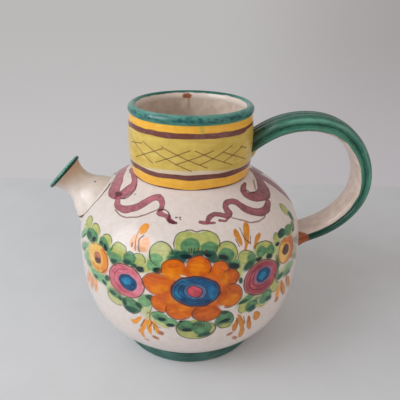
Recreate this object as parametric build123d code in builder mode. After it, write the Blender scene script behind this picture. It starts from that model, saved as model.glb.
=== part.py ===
from build123d import *

import os
from math import cos, radians, sin

os.makedirs("parts", exist_ok=True)

# A wheel-thrown jug with a wide neck, a short flared side spout and a loop handle.
# Millimetres. The origin is where the jug's axis meets the table, +Z is up, the handle
# leaves towards +X and the spout towards -X.

# Foot: the slab that closes the belly, with a low turned edge
foot_radius = 54.7
foot_height = 8.5
foot_edge = 1.5

# Belly: round body between the foot and the neck seam
belly_radius = 82.5
belly_equator = 78.0
belly_seat_radius = 53.0
belly_wall = 5.5
belly_seat_width = 8.0
neck_seam_height = 134.8
lower_curve_shares = [(0.753, 0.305), (1.0, 0.384)]
upper_curve_shares = [(1.0, 0.539), (0.787, 0.326)]
inner_curve_share = 0.93

# Neck: slightly bulged collar on the belly's opening
neck_seam_radius = 41.6
neck_top_radius = 41.8
neck_bulge = 1.8
neck_height = 41.7
neck_wall = 5.0

# Rim: rolled bead on top of the neck
rim_height = 5.9
rim_overhang = 1.0
rim_inner_overhang = 0.5
rim_middle_share = 0.45

# Spout: lip, waisted tube and flared collar on one sloping axis
spout_rise = 43.5
spout_length = 27.6
spout_seat_share = 0.475
spout_lip_radius = 15.0
spout_lip_thickness = 3.0
spout_mouth_radius = 11.8
spout_throat_depth = 12.0
spout_bore_radius = 7.5
spout_shoulder_radius = 13.5
spout_waist_radius = 10.5
spout_joint_radius = 14.1
spout_joint_depth = 22.0
spout_flare_radius = 22.4
spout_flare_length = 15.0
spout_flare_shares = [(0.37, 0.27), (0.64, 0.57)]

# Handle: ribbed strap from the neck, up and round, down to the belly
handle_reach = 123.4
handle_rise = 13.8
handle_foot_height = 79.5
handle_root_share = 0.525
strap_width = 21.5
strap_thickness = 11.6
rib_pitch = 5.6
rib_groove = 0.9
upper_path_shares = [(-0.119, -0.49), (0.0, 0.0), (0.162, 0.60), (0.4255, 1.0), (0.712, 0.69)]
outer_path_shares = [(0.935, 0.755), (1.0, 0.452)]
lower_path_shares = [(0.575, 0.16), (-0.156, 0.0), (-0.306, -0.027)]

# Luting: clay that joins the handle's two ends
upper_luting_drop = 6.5
upper_luting_run = 4.0
upper_luting_width = 16.0
upper_luting_belly_shares = (0.7, 0.35)
lower_luting_length = 8.0
lower_luting_swell = 0.5

# One overrun serves all cuts
overrun = 10.0


def between(low, high, share):
    return low + (high - low) * share


# Belly outline: two curves that meet upright at the equator
belly_rise = belly_equator - foot_height
belly_fall = neck_seam_height - belly_equator


def lower_controls(inset, seat):
    """Control points from the foot's seat up to the equator."""
    equator = (belly_radius - inset, belly_equator)
    start = (seat, foot_height)
    first, second = lower_curve_shares
    lean = first[0] * (belly_radius - belly_seat_radius)
    climb = first[1] * belly_rise
    drop = belly_rise * (1 - second[1])
    share = inner_curve_share if inset else 1
    return [
        start,
        (seat + lean * share, foot_height + climb * share),
        (equator[0], belly_equator - drop * share),
        equator,
    ]


def upper_controls(inset, seam):
    """Control points from the equator up to the neck's seam."""
    equator = (belly_radius - inset, belly_equator)
    end = (seam, neck_seam_height)
    first, second = upper_curve_shares
    climb = first[1] * belly_fall
    lean = second[0] * (belly_radius - neck_seam_radius)
    drop = second[1] * belly_fall
    share = inner_curve_share if inset else 1
    return [
        equator,
        (equator[0], belly_equator + climb * share),
        (seam + lean * share, neck_seam_height - drop * share),
        end,
    ]


outer_lower = lower_controls(0, belly_seat_radius)
outer_upper = upper_controls(0, neck_seam_radius)
inner_seat_radius = belly_seat_radius - belly_seat_width
inner_seam_radius = neck_seam_radius - neck_wall
inner_lower = lower_controls(belly_wall, inner_seat_radius)
inner_upper = upper_controls(belly_wall, inner_seam_radius)

# Neck outline
neck_top_height = neck_seam_height + neck_height
neck_middle_height = between(neck_seam_height, neck_top_height, 1 / 2)
neck_middle_radius = between(neck_seam_radius, neck_top_radius, 1 / 2) + neck_bulge
rim_top_height = neck_top_height + rim_height
rim_middle_height = between(neck_top_height, rim_top_height, rim_middle_share)

# Spout axis: from its seat on the shoulder out to the lip
spout_out = Vector(-cos(radians(spout_rise)), 0, sin(radians(spout_rise)))
spout_across = Vector(sin(radians(spout_rise)), 0, cos(radians(spout_rise)))
shoulder = Edge.make_bezier(*[(-r, 0, z) for r, z in outer_upper])
spout_seat = shoulder @ spout_seat_share
spout_tip = spout_seat + spout_out * spout_length
spout_section = Plane(origin=spout_tip, x_dir=spout_across, z_dir=(0, 1, 0))
spout_axis = Axis(spout_tip, -spout_out)
spout_bore_plane = Plane(origin=spout_seat, x_dir=(0, 1, 0), z_dir=spout_out)
spout_flare_depth = spout_joint_depth + spout_flare_length

# Solid cores, as if the jug were full: what is luted on is cut to their surface
with BuildPart() as belly_core:
    with BuildSketch(Plane.XZ):
        with BuildLine():
            Line((0, foot_height), outer_lower[0])
            Bezier(*outer_lower)
            Bezier(*outer_upper)
            Line(outer_upper[-1], (0, neck_seam_height))
            Line((0, neck_seam_height), (0, foot_height))
        make_face()
    revolve(axis=Axis.Z)

with BuildPart() as neck_core:
    with BuildSketch(Plane.XZ):
        with BuildLine():
            Line((0, neck_seam_height), (neck_seam_radius, neck_seam_height))
            ThreePointArc(
                (neck_seam_radius, neck_seam_height),
                (neck_middle_radius, neck_middle_height),
                (neck_top_radius, neck_top_height),
            )
            Line((neck_top_radius, neck_top_height), (0, neck_top_height))
            Line((0, neck_top_height), (0, neck_seam_height))
        make_face()
    revolve(axis=Axis.Z)

# Foot disc: flat underneath, narrowing a little up to the belly
with BuildPart() as foot_disc:
    with BuildSketch(Plane.XZ):
        with BuildLine():
            Line((0, 0), (foot_radius - foot_edge, 0))
            RadiusArc(
                (foot_radius - foot_edge, 0),
                (foot_radius, foot_edge),
                -foot_edge,
            )
            Line((foot_radius, foot_edge), (belly_seat_radius, foot_height))
            Line((belly_seat_radius, foot_height), (0, foot_height))
            Line((0, foot_height), (0, 0))
        make_face()
    revolve(axis=Axis.Z)
foot_disc.part.label = "foot_disc"
export_step(foot_disc.part, "parts/foot_disc.step")

# Belly shell: even wall, open to the neck, with the spout's hole through the shoulder
with BuildPart() as belly_shell:
    with BuildSketch(Plane.XZ):
        with BuildLine():
            Line(inner_lower[0], outer_lower[0])
            Bezier(*outer_lower)
            Bezier(*outer_upper)
            Line(outer_upper[-1], inner_upper[-1])
            Bezier(*inner_upper)
            Bezier(*inner_lower)
        make_face()
    revolve(axis=Axis.Z)
    with BuildSketch(spout_bore_plane):
        Circle(spout_bore_radius)
    extrude(amount=belly_wall + overrun, both=True, mode=Mode.SUBTRACT)
belly_shell.part.label = "belly_shell"
export_step(belly_shell.part, "parts/belly_shell.step")

# Neck collar: stands on the belly's opening, wall for wall
with BuildPart() as neck_collar:
    with BuildSketch(Plane.XZ):
        with BuildLine():
            Line((inner_seam_radius, neck_seam_height), (neck_seam_radius, neck_seam_height))
            ThreePointArc(
                (neck_seam_radius, neck_seam_height),
                (neck_middle_radius, neck_middle_height),
                (neck_top_radius, neck_top_height),
            )
            Line((neck_top_radius, neck_top_height), (neck_top_radius - neck_wall, neck_top_height))
            ThreePointArc(
                (neck_top_radius - neck_wall, neck_top_height),
                (neck_middle_radius - neck_wall, neck_middle_height),
                (inner_seam_radius, neck_seam_height),
            )
        make_face()
    revolve(axis=Axis.Z)
neck_collar.part.label = "neck_collar"
export_step(neck_collar.part, "parts/neck_collar.step")

# Rim roll: a bead as wide as the neck's wall and a little over on both sides
rim_inner_radius = neck_top_radius - neck_wall
rim_crest = (between(rim_inner_radius, neck_top_radius, 1 / 2), rim_top_height)
with BuildPart() as rim_roll:
    with BuildSketch(Plane.XZ):
        with BuildLine():
            Line((rim_inner_radius, neck_top_height), (neck_top_radius, neck_top_height))
            ThreePointArc(
                (neck_top_radius, neck_top_height),
                (neck_top_radius + rim_overhang, rim_middle_height),
                rim_crest,
            )
            ThreePointArc(
                rim_crest,
                (rim_inner_radius - rim_inner_overhang, rim_middle_height),
                (rim_inner_radius, neck_top_height),
            )
        make_face()
    revolve(axis=Axis.Z)
rim_roll.part.label = "rim_roll"
export_step(rim_roll.part, "parts/rim_roll.step")

# Spout lip: thin flange round the mouth, at right angles to the spout's axis
spout_lip_inner_radius = spout_mouth_radius - spout_lip_thickness / 4
with BuildPart() as spout_lip:
    with BuildSketch(spout_section):
        with BuildLine():
            Line((spout_mouth_radius, 0), (spout_shoulder_radius, 0))
            ThreePointArc(
                (spout_shoulder_radius, 0),
                (spout_lip_radius, spout_lip_thickness / 2),
                (spout_shoulder_radius, spout_lip_thickness),
            )
            Line(
                (spout_shoulder_radius, spout_lip_thickness),
                (spout_lip_inner_radius, spout_lip_thickness),
            )
            Line((spout_lip_inner_radius, spout_lip_thickness), (spout_mouth_radius, 0))
        make_face()
    revolve(axis=spout_axis)
spout_lip.part.label = "spout_lip"
export_step(spout_lip.part, "parts/spout_lip.step")

# Spout tube: waisted outside, funnelled inside from the mouth to the bore
spout_waist_depth = between(spout_lip_thickness, spout_joint_depth, 1 / 2)
with BuildPart() as spout_tube:
    with BuildSketch(spout_section):
        with BuildLine():
            Line(
                (spout_lip_inner_radius, spout_lip_thickness),
                (spout_shoulder_radius, spout_lip_thickness),
            )
            ThreePointArc(
                (spout_shoulder_radius, spout_lip_thickness),
                (spout_waist_radius, spout_waist_depth),
                (spout_joint_radius, spout_joint_depth),
            )
            Line((spout_joint_radius, spout_joint_depth), (spout_bore_radius, spout_joint_depth))
            Line((spout_bore_radius, spout_joint_depth), (spout_bore_radius, spout_throat_depth))
            Line(
                (spout_bore_radius, spout_throat_depth),
                (spout_lip_inner_radius, spout_lip_thickness),
            )
        make_face()
    revolve(axis=spout_axis)
spout_tube.part.label = "spout_tube"
export_step(spout_tube.part, "parts/spout_tube.step")

# Spout collar: flares from the tube's end down to the shoulder, cut to the belly's surface
flare_points = [
    (
        between(spout_joint_radius, spout_flare_radius, across),
        between(spout_joint_depth, spout_flare_depth, along),
    )
    for across, along in spout_flare_shares
]
with BuildPart() as spout_collar:
    with BuildSketch(spout_section):
        with BuildLine():
            Line((spout_bore_radius, spout_joint_depth), (spout_joint_radius, spout_joint_depth))
            Bezier(
                (spout_joint_radius, spout_joint_depth),
                *flare_points,
                (spout_flare_radius, spout_flare_depth),
            )
            Line((spout_flare_radius, spout_flare_depth), (spout_bore_radius, spout_flare_depth))
            Line((spout_bore_radius, spout_flare_depth), (spout_bore_radius, spout_joint_depth))
        make_face()
    revolve(axis=spout_axis)
    add(belly_core.part, mode=Mode.SUBTRACT)
spout_collar.part.label = "spout_collar"
export_step(spout_collar.part, "parts/spout_collar.step")

# Handle path: its roots follow the neck and the belly, its bow follows the reach
handle_root_height = between(neck_seam_height, neck_top_height, handle_root_share)
handle_top = handle_root_height + handle_rise
handle_path_points = [
    (
        between(neck_middle_radius, handle_reach, out),
        0,
        between(handle_root_height, handle_top, up),
    )
    for out, up in upper_path_shares
]
handle_path_points += [
    (
        between(neck_middle_radius, handle_reach, out),
        0,
        between(handle_foot_height, handle_top, up),
    )
    for out, up in outer_path_shares
]
handle_path_points += [
    (
        between(belly_radius, handle_reach, out),
        0,
        between(handle_foot_height, handle_top, up),
    )
    for out, up in lower_path_shares
]
handle_path = Edge.make_spline(handle_path_points)

# Strap section: three ribs outside, nearly flat inside, round at both edges
rib_edge = rib_pitch * 3 / 2
rib_valley = strap_thickness / 2 - rib_groove


def strap_sketch(plane, swell):
    """Face of the strap's section, grown by a swell all round."""
    with BuildSketch(plane) as section:
        with BuildLine():
            for rib in (-1, 0, 1):
                ThreePointArc(
                    (rib * rib_pitch - rib_pitch / 2, rib_valley),
                    (rib * rib_pitch, strap_thickness / 2),
                    (rib * rib_pitch + rib_pitch / 2, rib_valley),
                )
            ThreePointArc((rib_edge, rib_valley), (strap_width / 2, 0), (rib_edge, -rib_valley))
            ThreePointArc((rib_edge, -rib_valley), (0, -strap_thickness / 2), (-rib_edge, -rib_valley))
            ThreePointArc((-rib_edge, -rib_valley), (-strap_width / 2, 0), (-rib_edge, rib_valley))
        make_face()
        if swell:
            offset(amount=swell)
    return section.sketch


strap_start = Plane(origin=handle_path @ 0, x_dir=(0, 1, 0), z_dir=handle_path % 0)

# The strap ends short of the belly, where the pad of luting clay takes over
path_end_x = handle_path_points[-1][0]
lower_joint_place = 1 - (belly_radius - path_end_x + lower_luting_length) / handle_path.length
lower_joint = Plane(
    origin=handle_path @ lower_joint_place,
    x_dir=(0, 1, 0),
    z_dir=handle_path % lower_joint_place,
)

# Handle strap: swept along the path and cut to the neck's surface
with BuildPart() as handle_strap:
    sweep(strap_sketch(strap_start, 0), path=handle_path.trim(0, lower_joint_place))
    add(neck_core.part, mode=Mode.SUBTRACT)
handle_strap.part.label = "handle_strap"
export_step(handle_strap.part, "parts/handle_strap.step")

# Lower luting: pad between the strap's end and the belly, a little proud of the strap
with BuildPart() as handle_lower_luting:
    sweep(strap_sketch(lower_joint, lower_luting_swell), path=handle_path.trim(lower_joint_place, 1))
    add(belly_core.part, mode=Mode.SUBTRACT)
handle_lower_luting.part.label = "handle_lower_luting"
export_step(handle_lower_luting.part, "parts/handle_lower_luting.step")

# Upper luting: wad thumbed into the corner under the strap, rounded outwards and in plan
path_start_x = handle_path_points[0][0]
wad_place = (neck_middle_radius - path_start_x + upper_luting_run) / handle_path.length
wad_middle = handle_path @ wad_place
wad_along = handle_path % wad_place
wad_end = wad_middle + Vector(wad_along.Z, 0, -wad_along.X) * (strap_thickness / 2)
wad_start = (neck_seam_radius, handle_root_height - strap_thickness / 2 - upper_luting_drop)
wad_belly = (
    between(wad_start[0], wad_end.X, upper_luting_belly_shares[0]),
    between(wad_start[1], wad_end.Z, upper_luting_belly_shares[1]),
)
wad_in = neck_seam_radius - neck_wall / 2
wad_plan_radius = upper_luting_width / 2
with BuildPart() as handle_upper_luting:
    with BuildSketch(Plane.XZ):
        with BuildLine():
            Line((wad_in, wad_start[1]), wad_start)
            ThreePointArc(wad_start, wad_belly, (wad_end.X, wad_end.Z))
            Line((wad_end.X, wad_end.Z), (wad_middle.X, wad_middle.Z))
            Line((wad_middle.X, wad_middle.Z), (wad_in, handle_root_height))
            Line((wad_in, handle_root_height), (wad_in, wad_start[1]))
        make_face()
    extrude(amount=upper_luting_width, both=True)
    with BuildSketch():
        with Locations((wad_end.X - wad_plan_radius, 0)):
            Circle(wad_plan_radius)
    extrude(amount=rim_top_height, mode=Mode.INTERSECT)
    add(neck_core.part, mode=Mode.SUBTRACT)
    add(handle_strap.part, mode=Mode.SUBTRACT)
handle_upper_luting.part.label = "handle_upper_luting"
export_step(handle_upper_luting.part, "parts/handle_upper_luting.step")
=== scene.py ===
from math import atan2, cos, hypot, pi, radians, sin

import bpy
import numpy as np
from mathutils import Matrix, Vector


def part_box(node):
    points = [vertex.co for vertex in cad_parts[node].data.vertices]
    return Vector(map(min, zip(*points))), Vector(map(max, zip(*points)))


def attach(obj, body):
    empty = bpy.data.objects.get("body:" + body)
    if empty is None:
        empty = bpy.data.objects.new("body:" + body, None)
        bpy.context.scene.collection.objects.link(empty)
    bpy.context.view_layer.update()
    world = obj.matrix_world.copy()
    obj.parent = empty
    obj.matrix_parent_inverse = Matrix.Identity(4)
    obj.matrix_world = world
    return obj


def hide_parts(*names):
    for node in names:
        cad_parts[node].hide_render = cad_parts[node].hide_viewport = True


# A hand-painted glazed jug: thrown belly, wide neck, side spout and ribbed loop handle.
# Lengths are in millimetres until a mesh is written, in the frame of the CAD model.
# Degrees round the jug count from the handle (0) over the front (90) to the spout (180).

MM = 0.001

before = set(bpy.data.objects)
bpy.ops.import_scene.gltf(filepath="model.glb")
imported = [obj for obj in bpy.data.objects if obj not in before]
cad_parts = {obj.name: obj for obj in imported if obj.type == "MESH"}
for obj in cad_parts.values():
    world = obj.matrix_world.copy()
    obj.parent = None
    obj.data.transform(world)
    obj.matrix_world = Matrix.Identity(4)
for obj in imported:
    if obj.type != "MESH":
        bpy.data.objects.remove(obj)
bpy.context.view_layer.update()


def span(node):
    """Lowest and highest corner of a CAD node, in millimetres."""
    low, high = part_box(node)
    return low / MM, high / MM


def between(low, high, share):
    return low + (high - low) * share


# Sizes read from the frame
foot_high = span("foot_disc")[1]
belly_low, belly_high = span("belly_shell")
neck_high = span("neck_collar")[1]
rim_high = span("rim_roll")[1]
strap_high = span("handle_strap")[1]

# Belly and foot
foot_radius = foot_high.x
foot_height = foot_high.z
belly_radius = belly_high.x
belly_equator = between(belly_low.z, belly_high.z, 0.5503)
belly_seat_radius = foot_radius - 1.7
belly_wall = 5.5
belly_seat_width = 8.0
seam_height = belly_high.z
lower_curve_shares = [(0.753, 0.305), (1.0, 0.384)]
upper_curve_shares = [(1.0, 0.539), (0.787, 0.326)]
inner_curve_share = 0.93

# Neck and rim
neck_top = neck_high.z
neck_bulge = 1.8
neck_wall = 5.0
neck_middle_radius = neck_high.x
neck_seam_radius = neck_middle_radius - neck_bulge - 0.1
neck_top_radius = neck_seam_radius + 0.2
rim_top = rim_high.z
rim_middle_share = 0.45
rim_overhang = 1.0
rim_inner_overhang = 0.1
neck_inner_bulge = 0.6

# Spout, as distances behind the lip's face along its sloping axis
spout_rise = radians(43.5)
spout_length = 27.6
spout_seat_share = 0.475
spout_lip_radius = 15.0
spout_lip_thickness = 3.0
spout_mouth_radius = 11.8
spout_mouth_depth = 0.35
spout_edge_depth = 0.25
spout_edge_rounding = 0.7
spout_throat_depth = 12.0
spout_bore_radius = 7.5
spout_shoulder_radius = 13.5
spout_waist_radius = 10.5
spout_joint_radius = 14.1
spout_joint_depth = 22.0
spout_flare_radius = 22.4
spout_flare_length = 15.0
spout_flare_shares = [(0.37, 0.27), (0.64, 0.57)]

# Handle
strap_width = 21.5
strap_thickness = 11.6
rib_pitch = 5.6
rib_groove = 0.5
rib_fall = 0.7
edge_groove = 1.1
handle_reach = strap_high.x - strap_thickness / 2
handle_root_share = 0.525
handle_rise = 13.8
handle_foot_height = 79.5
handle_root = between(seam_height, neck_top, handle_root_share)
handle_top = handle_root + handle_rise
upper_path_shares = [(-0.119, -0.49), (0.0, 0.0), (0.162, 0.60), (0.4255, 1.0), (0.712, 0.69)]
outer_path_shares = [(0.935, 0.755), (1.0, 0.452)]
lower_path_shares = [(0.575, 0.16), (-0.156, 0.0), (-0.306, -0.027)]
pad_length = 8.0
pad_swell = 0.8
wad_width = 19.0
wad_drop = 11.0
wad_run = 11.0
wad_reach = 30.0
wad_hollow_share = 0.62
wad_pull_share = 0.67
wad_least_share = 0.01
wad_neck_margin = 0.5
strap_edge_share = 0.55

# Pieces that are luted on reach this far into what carries them
luting_depth = 0.6
hole_overrun = 6.0

# How often the stretch is halved in which a line is known to meet a body
halvings = 30

# Distance that the spout's inside has from its painted root
far_from_root = 30.0

# Rows and columns of the meshes
belly_columns = 288
neck_columns = 240
spout_columns = 96
spout_rows = 44
hole_columns = 48
strap_rows = 120
strap_fading_rows = 14
pad_rows = 8
wad_columns = 24


# Curves and outlines, as (radius, height) points


def bezier(points, steps):
    """Points along a cubic Bezier curve."""
    a, b, c, d = [np.array(p, float) for p in points]
    t = np.linspace(0, 1, steps + 1)[:, None]
    return (1 - t) ** 3 * a + 3 * (1 - t) ** 2 * t * b + 3 * (1 - t) * t ** 2 * c + t ** 3 * d


def arc(start, middle, end, steps):
    """Points along the circle through three points."""
    (ax, ay), (bx, by), (cx, cy) = start, middle, end
    d = 2 * (ax * (by - cy) + bx * (cy - ay) + cx * (ay - by))
    a2, b2, c2 = ax * ax + ay * ay, bx * bx + by * by, cx * cx + cy * cy
    x = (a2 * (by - cy) + b2 * (cy - ay) + c2 * (ay - by)) / d
    y = (a2 * (cx - bx) + b2 * (ax - cx) + c2 * (bx - ax)) / d
    turns = np.unwrap([atan2(q - y, p - x) for p, q in (start, middle, end)])
    angles = np.linspace(turns[0], turns[2], steps + 1)
    radius = hypot(ax - x, ay - y)
    return np.stack([x + radius * np.cos(angles), y + radius * np.sin(angles)], 1)


def straight(start, end, steps):
    return np.linspace(start, end, steps + 1)


def joined(*stretches):
    """One run of points from stretches that share their end points."""
    return np.concatenate([s[:-1] for s in stretches] + [stretches[-1][-1:]])


def lengths_along(points):
    """Length along a run of points up to each of them."""
    return np.concatenate([[0], np.cumsum(np.hypot(*np.diff(points, axis=0).T))])


def belly_curves(inset, seat, seam):
    """The two curves of the belly's outline, grown inwards by a wall."""
    share = inner_curve_share if inset else 1
    equator = (belly_radius - inset, belly_equator)
    widening = belly_radius - belly_seat_radius
    rise = belly_equator - foot_height
    fall = seam_height - belly_equator
    (lean_1, climb_1), (_, climb_2) = lower_curve_shares
    (_, climb_3), (lean_4, drop_4) = upper_curve_shares
    lower = [
        (seat, foot_height),
        (seat + lean_1 * widening * share, foot_height + climb_1 * rise * share),
        (equator[0], belly_equator - rise * (1 - climb_2) * share),
        equator,
    ]
    upper = [
        equator,
        (equator[0], belly_equator + climb_3 * fall * share),
        (seam + lean_4 * (belly_radius - neck_seam_radius) * share, seam_height - drop_4 * fall * share),
        (seam, seam_height),
    ]
    return lower, upper


belly_lower, belly_upper = belly_curves(0, belly_seat_radius, neck_seam_radius)
inner_lower, inner_upper = belly_curves(
    belly_wall, belly_seat_radius - belly_seat_width, neck_seam_radius - neck_wall
)
belly_outline = joined(bezier(belly_lower, 60), bezier(belly_upper, 64))
belly_lengths = lengths_along(belly_outline)
belly_girth = belly_lengths[-1]


def along_belly(height):
    """Length along the belly's outline from the foot up to a height."""
    return float(np.interp(height, belly_outline[:, 1], belly_lengths))


def belly_radius_at(height):
    return np.interp(height, belly_outline[:, 1], belly_outline[:, 0])


neck_outline = arc(
    (neck_seam_radius, seam_height),
    (neck_middle_radius, between(seam_height, neck_top, 0.5)),
    (neck_top_radius, neck_top),
    48,
)


def neck_radius_at(height):
    return np.interp(height, neck_outline[:, 1], neck_outline[:, 0])


# Meshes


sharp_angle = radians(42)


def signed_volume(points, faces):
    """Six times the volume inside closed faces, negative where they look inwards."""
    total = 0.0
    for count in (3, 4):
        corners = np.array([f for f in faces if len(f) == count], int)
        for k in range(1, count - 1):
            if len(corners):
                a, b, c = points[corners[:, 0]], points[corners[:, k]], points[corners[:, k + 1]]
                total += np.einsum("ij,ij->", a, np.cross(b, c))
    return total


def new_piece(name, points, faces, material, maps=None):
    """A smooth mesh piece from points in millimetres, riding on the jug."""
    mesh = bpy.data.meshes.new(name)
    mesh.from_pydata([tuple(p) for p in np.asarray(points) * MM], [], faces)
    for map_name, places in (maps or {}).items():
        layer = mesh.uv_layers.new(name=map_name)
        layer.uv.foreach_set("vector", np.asarray(places, np.float32).ravel())
    mesh.polygons.foreach_set("use_smooth", [True] * len(mesh.polygons))
    mesh.set_sharp_from_angle(angle=sharp_angle)
    mesh.validate()
    if signed_volume(np.asarray(points), faces) < 0:
        mesh.flip_normals()
    mesh.materials.append(material)
    piece = bpy.data.objects.new(name, mesh)
    bpy.context.scene.collection.objects.link(piece)
    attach(piece, "root")
    return piece


def ring_grid(rows, columns, closed=True):
    """Faces and map places of a grid of rows by columns, wrapped round the columns.

    closed joins the last row to the first as well."""
    faces, places = [], []
    last = rows if closed else rows - 1
    for i in range(last):
        j = (i + 1) % rows
        for k in range(columns):
            m = (k + 1) % columns
            faces.append((i * columns + k, i * columns + m, j * columns + m, j * columns + k))
            left, right = k / columns, (k + 1) / columns
            low, high = i / last, (i + 1) / last
            places += [(left, low), (right, low), (right, high), (left, high)]
    return faces, places


def angles_round(columns):
    return np.linspace(0, 2 * pi, columns, endpoint=False)


def turned_piece(name, outline, columns, material):
    """A piece from its closed outline, turned round the jug's axis."""
    angles = angles_round(columns)
    rings = []
    for radius, height in outline:
        x, y = radius * np.cos(angles), radius * np.sin(angles)
        rings.append(np.stack([x, y, np.full(columns, height)], 1))
    faces, places = ring_grid(len(outline), columns)
    return new_piece(name, np.concatenate(rings), faces, material, {"Round": places})


# Shader nodes


def srgb(red, green, blue):
    """Linear colour of an sRGB colour given in 0 to 255."""
    linear = []
    for value in (red, green, blue):
        v = value / 255
        linear.append(v / 12.92 if v <= 0.04045 else ((v + 0.055) / 1.055) ** 2.4)
    return (*linear, 1.0)


class Nodes:
    """Adds nodes to one shader tree. An input is a number, a tuple or another node's socket."""

    def __init__(self, tree):
        self.tree = tree

    def feed(self, socket, value):
        if isinstance(value, bpy.types.NodeSocket):
            self.tree.links.new(value, socket)
        else:
            socket.default_value = value

    def add(self, kind, inputs=None, **settings):
        node = self.tree.nodes.new("ShaderNode" + kind)
        for name, value in settings.items():
            setattr(node, name, value)
        for name, value in (inputs or {}).items():
            self.feed(node.inputs[name], value)
        return node

    def math(self, operation, *values, clamp=False):
        inputs = dict(enumerate(values))
        return self.add("Math", inputs, operation=operation, use_clamp=clamp).outputs[0]

    def absolute(self, value):
        return self.math("ABSOLUTE", value)

    def times(self, first, second):
        return self.math("MULTIPLY", first, second)

    def divided(self, first, second):
        return self.math("DIVIDE", first, second)

    def plus(self, first, second, clamp=False):
        return self.math("ADD", first, second, clamp=clamp)

    def minus(self, first, second):
        return self.math("SUBTRACT", first, second)

    def scaled(self, value, factor, term):
        """The value times a factor, plus a term."""
        return self.math("MULTIPLY_ADD", value, factor, term)

    def vector(self, operation, *values, scale=None):
        inputs = dict(enumerate(values))
        node = self.add("VectorMath", inputs, operation=operation)
        if scale is not None:
            self.feed(node.inputs["Scale"], scale)
        return node.outputs["Value" if operation in ("LENGTH", "DOT_PRODUCT", "DISTANCE") else "Vector"]

    def split(self, vector):
        return self.add("SeparateXYZ", {0: vector}).outputs

    def combine(self, x=0.0, y=0.0, z=0.0):
        return self.add("CombineXYZ", {0: x, 1: y, 2: z}).outputs[0]

    def mix(self, share, first, second):
        """Colour between two, each of them a socket or an sRGB colour."""
        first, second = [srgb(*c) if isinstance(c, tuple) else c for c in (first, second)]
        return self.add("Mix", {0: share, 6: first, 7: second}, data_type="RGBA").outputs[2]

    def clouded(self, noise, light, dark):
        """A light and a dark colour mixed by a noise value."""
        return self.mix(self.spread(noise, 0.0, 1.0), light, dark)

    def laid(self, share, cover, below, paint):
        """A paint laid over what is below it, as far as it covers."""
        return self.mix(self.times(share, cover), below, paint)

    def mix_vector(self, share, first, second):
        return self.add("Mix", {0: share, 4: first, 5: second}, data_type="VECTOR").outputs[1]

    def step(self, value, low, high):
        """0 below low and 1 above high, smooth between, whichever of them is larger."""
        node = self.add("MapRange", {0: value, 1: low, 2: high, 3: 0.0, 4: 1.0})
        node.interpolation_type = "SMOOTHSTEP"
        return node.outputs[0]

    def band(self, value, low, high, soft):
        """1 between low and high and 0 outside them, with soft edges."""
        above = self.step(value, low - soft, low + soft)
        return self.times(above, self.step(value, high + soft, high - soft))

    def spread(self, value, low, high):
        """A noise value of 0 to 1 spread over low to high."""
        return self.add("MapRange", {0: value, 1: 0.3, 2: 0.7, 3: low, 4: high}).outputs[0]

    def noise(self, place, size, detail=2.0, roughness=0.5, stretch=None, seed=0.0, output=0):
        """Noise of a grain size in the place's own unit. seed shifts it."""
        if stretch:
            place = self.vector("MULTIPLY", place, stretch)
        if seed:
            place = self.vector("ADD", place, (seed, seed * 1.7, seed * 0.6))
        inputs = {"Vector": place, "Scale": 1 / size, "Detail": detail, "Roughness": roughness}
        return self.add("TexNoise", inputs).outputs[output]

    def group(self, tree, **inputs):
        node = self.add("Group", node_tree=tree)
        for name, value in inputs.items():
            self.feed(node.inputs[name], value)
        return node.outputs

    def place(self):
        """Place on the jug in millimetres."""
        return self.vector("SCALE", self.add("TexCoord").outputs["Object"], scale=1 / MM)


def new_group(name, inputs, outputs):
    """A node group with its builder, input and output nodes.

    A socket's value tells its kind: a number, a place of three or a colour of four."""
    tree = bpy.data.node_groups.new(name, "ShaderNodeTree")
    for way, sockets in (("INPUT", inputs), ("OUTPUT", outputs)):
        for label, value in sockets.items():
            kind = {3: "Vector", 4: "Color"}[len(value)] if isinstance(value, tuple) else "Float"
            socket = tree.interface.new_socket(label, in_out=way, socket_type="NodeSocket" + kind)
            if way == "INPUT":
                socket.default_value = value
    given = tree.nodes.new("NodeGroupInput").outputs
    out = tree.nodes.new("NodeGroupOutput").inputs
    return tree, Nodes(tree), given, out


def new_material(name):
    """The nodes of a new material, which know the material and its shader."""
    material = bpy.data.materials.new(name)
    material.use_nodes = True
    nodes = Nodes(material.node_tree)
    nodes.material = material
    nodes.shader = material.node_tree.nodes["Principled BSDF"]
    return nodes


glaze_coat = 0.12
glaze_coat_roughness = 0.08
glaze_ior = 1.38
glaze_bump = 0.25


def glaze(nodes, colour, roughness=0.22):
    """Glossy glaze of a colour, with a soft uneven skin. Gives back the finished material."""
    shader = nodes.shader
    nodes.feed(shader.inputs["Base Color"], colour)
    nodes.feed(shader.inputs["Roughness"], roughness)
    shader.inputs["Coat Weight"].default_value = glaze_coat
    shader.inputs["Coat Roughness"].default_value = glaze_coat_roughness
    shader.inputs["IOR"].default_value = glaze_ior
    place = nodes.place()
    skin = nodes.noise(place, 5.0, detail=3.0, seed=3.0)
    rings = nodes.noise(place, 9.0, detail=1.0, stretch=(0.12, 0.12, 1.6), seed=11.0)
    level = nodes.plus(nodes.times(skin, 0.35), nodes.times(rings, 0.5))
    bumped = nodes.add("Bump", {"Height": level, "Strength": glaze_bump, "Distance": MM})
    nodes.feed(shader.inputs["Normal"], bumped.outputs[0])
    return nodes.material


# Paint: strokes are laid one over another. Each carries a light and a dark colour and the
# direction of its streaks, so that one streak noise at the end serves all of them.

LAYER = {"Light": (0.8, 0.8, 0.8, 1), "Dark": (0.5, 0.5, 0.5, 1), "Grain": (0, 0, 0), "Place": (0, 0, 0)}

# The place is passed on from stroke to stroke, a hair's breadth larger where a stroke covers
# it, so that the renderer works the strokes out one after another.
PASSING_SHARE = 1e-7


def pass_place(n, given, out, mask):
    scale = n.scaled(mask, PASSING_SHARE, 1.0)
    n.feed(out["Place"], n.vector("SCALE", given["Place"], scale=scale))


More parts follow.
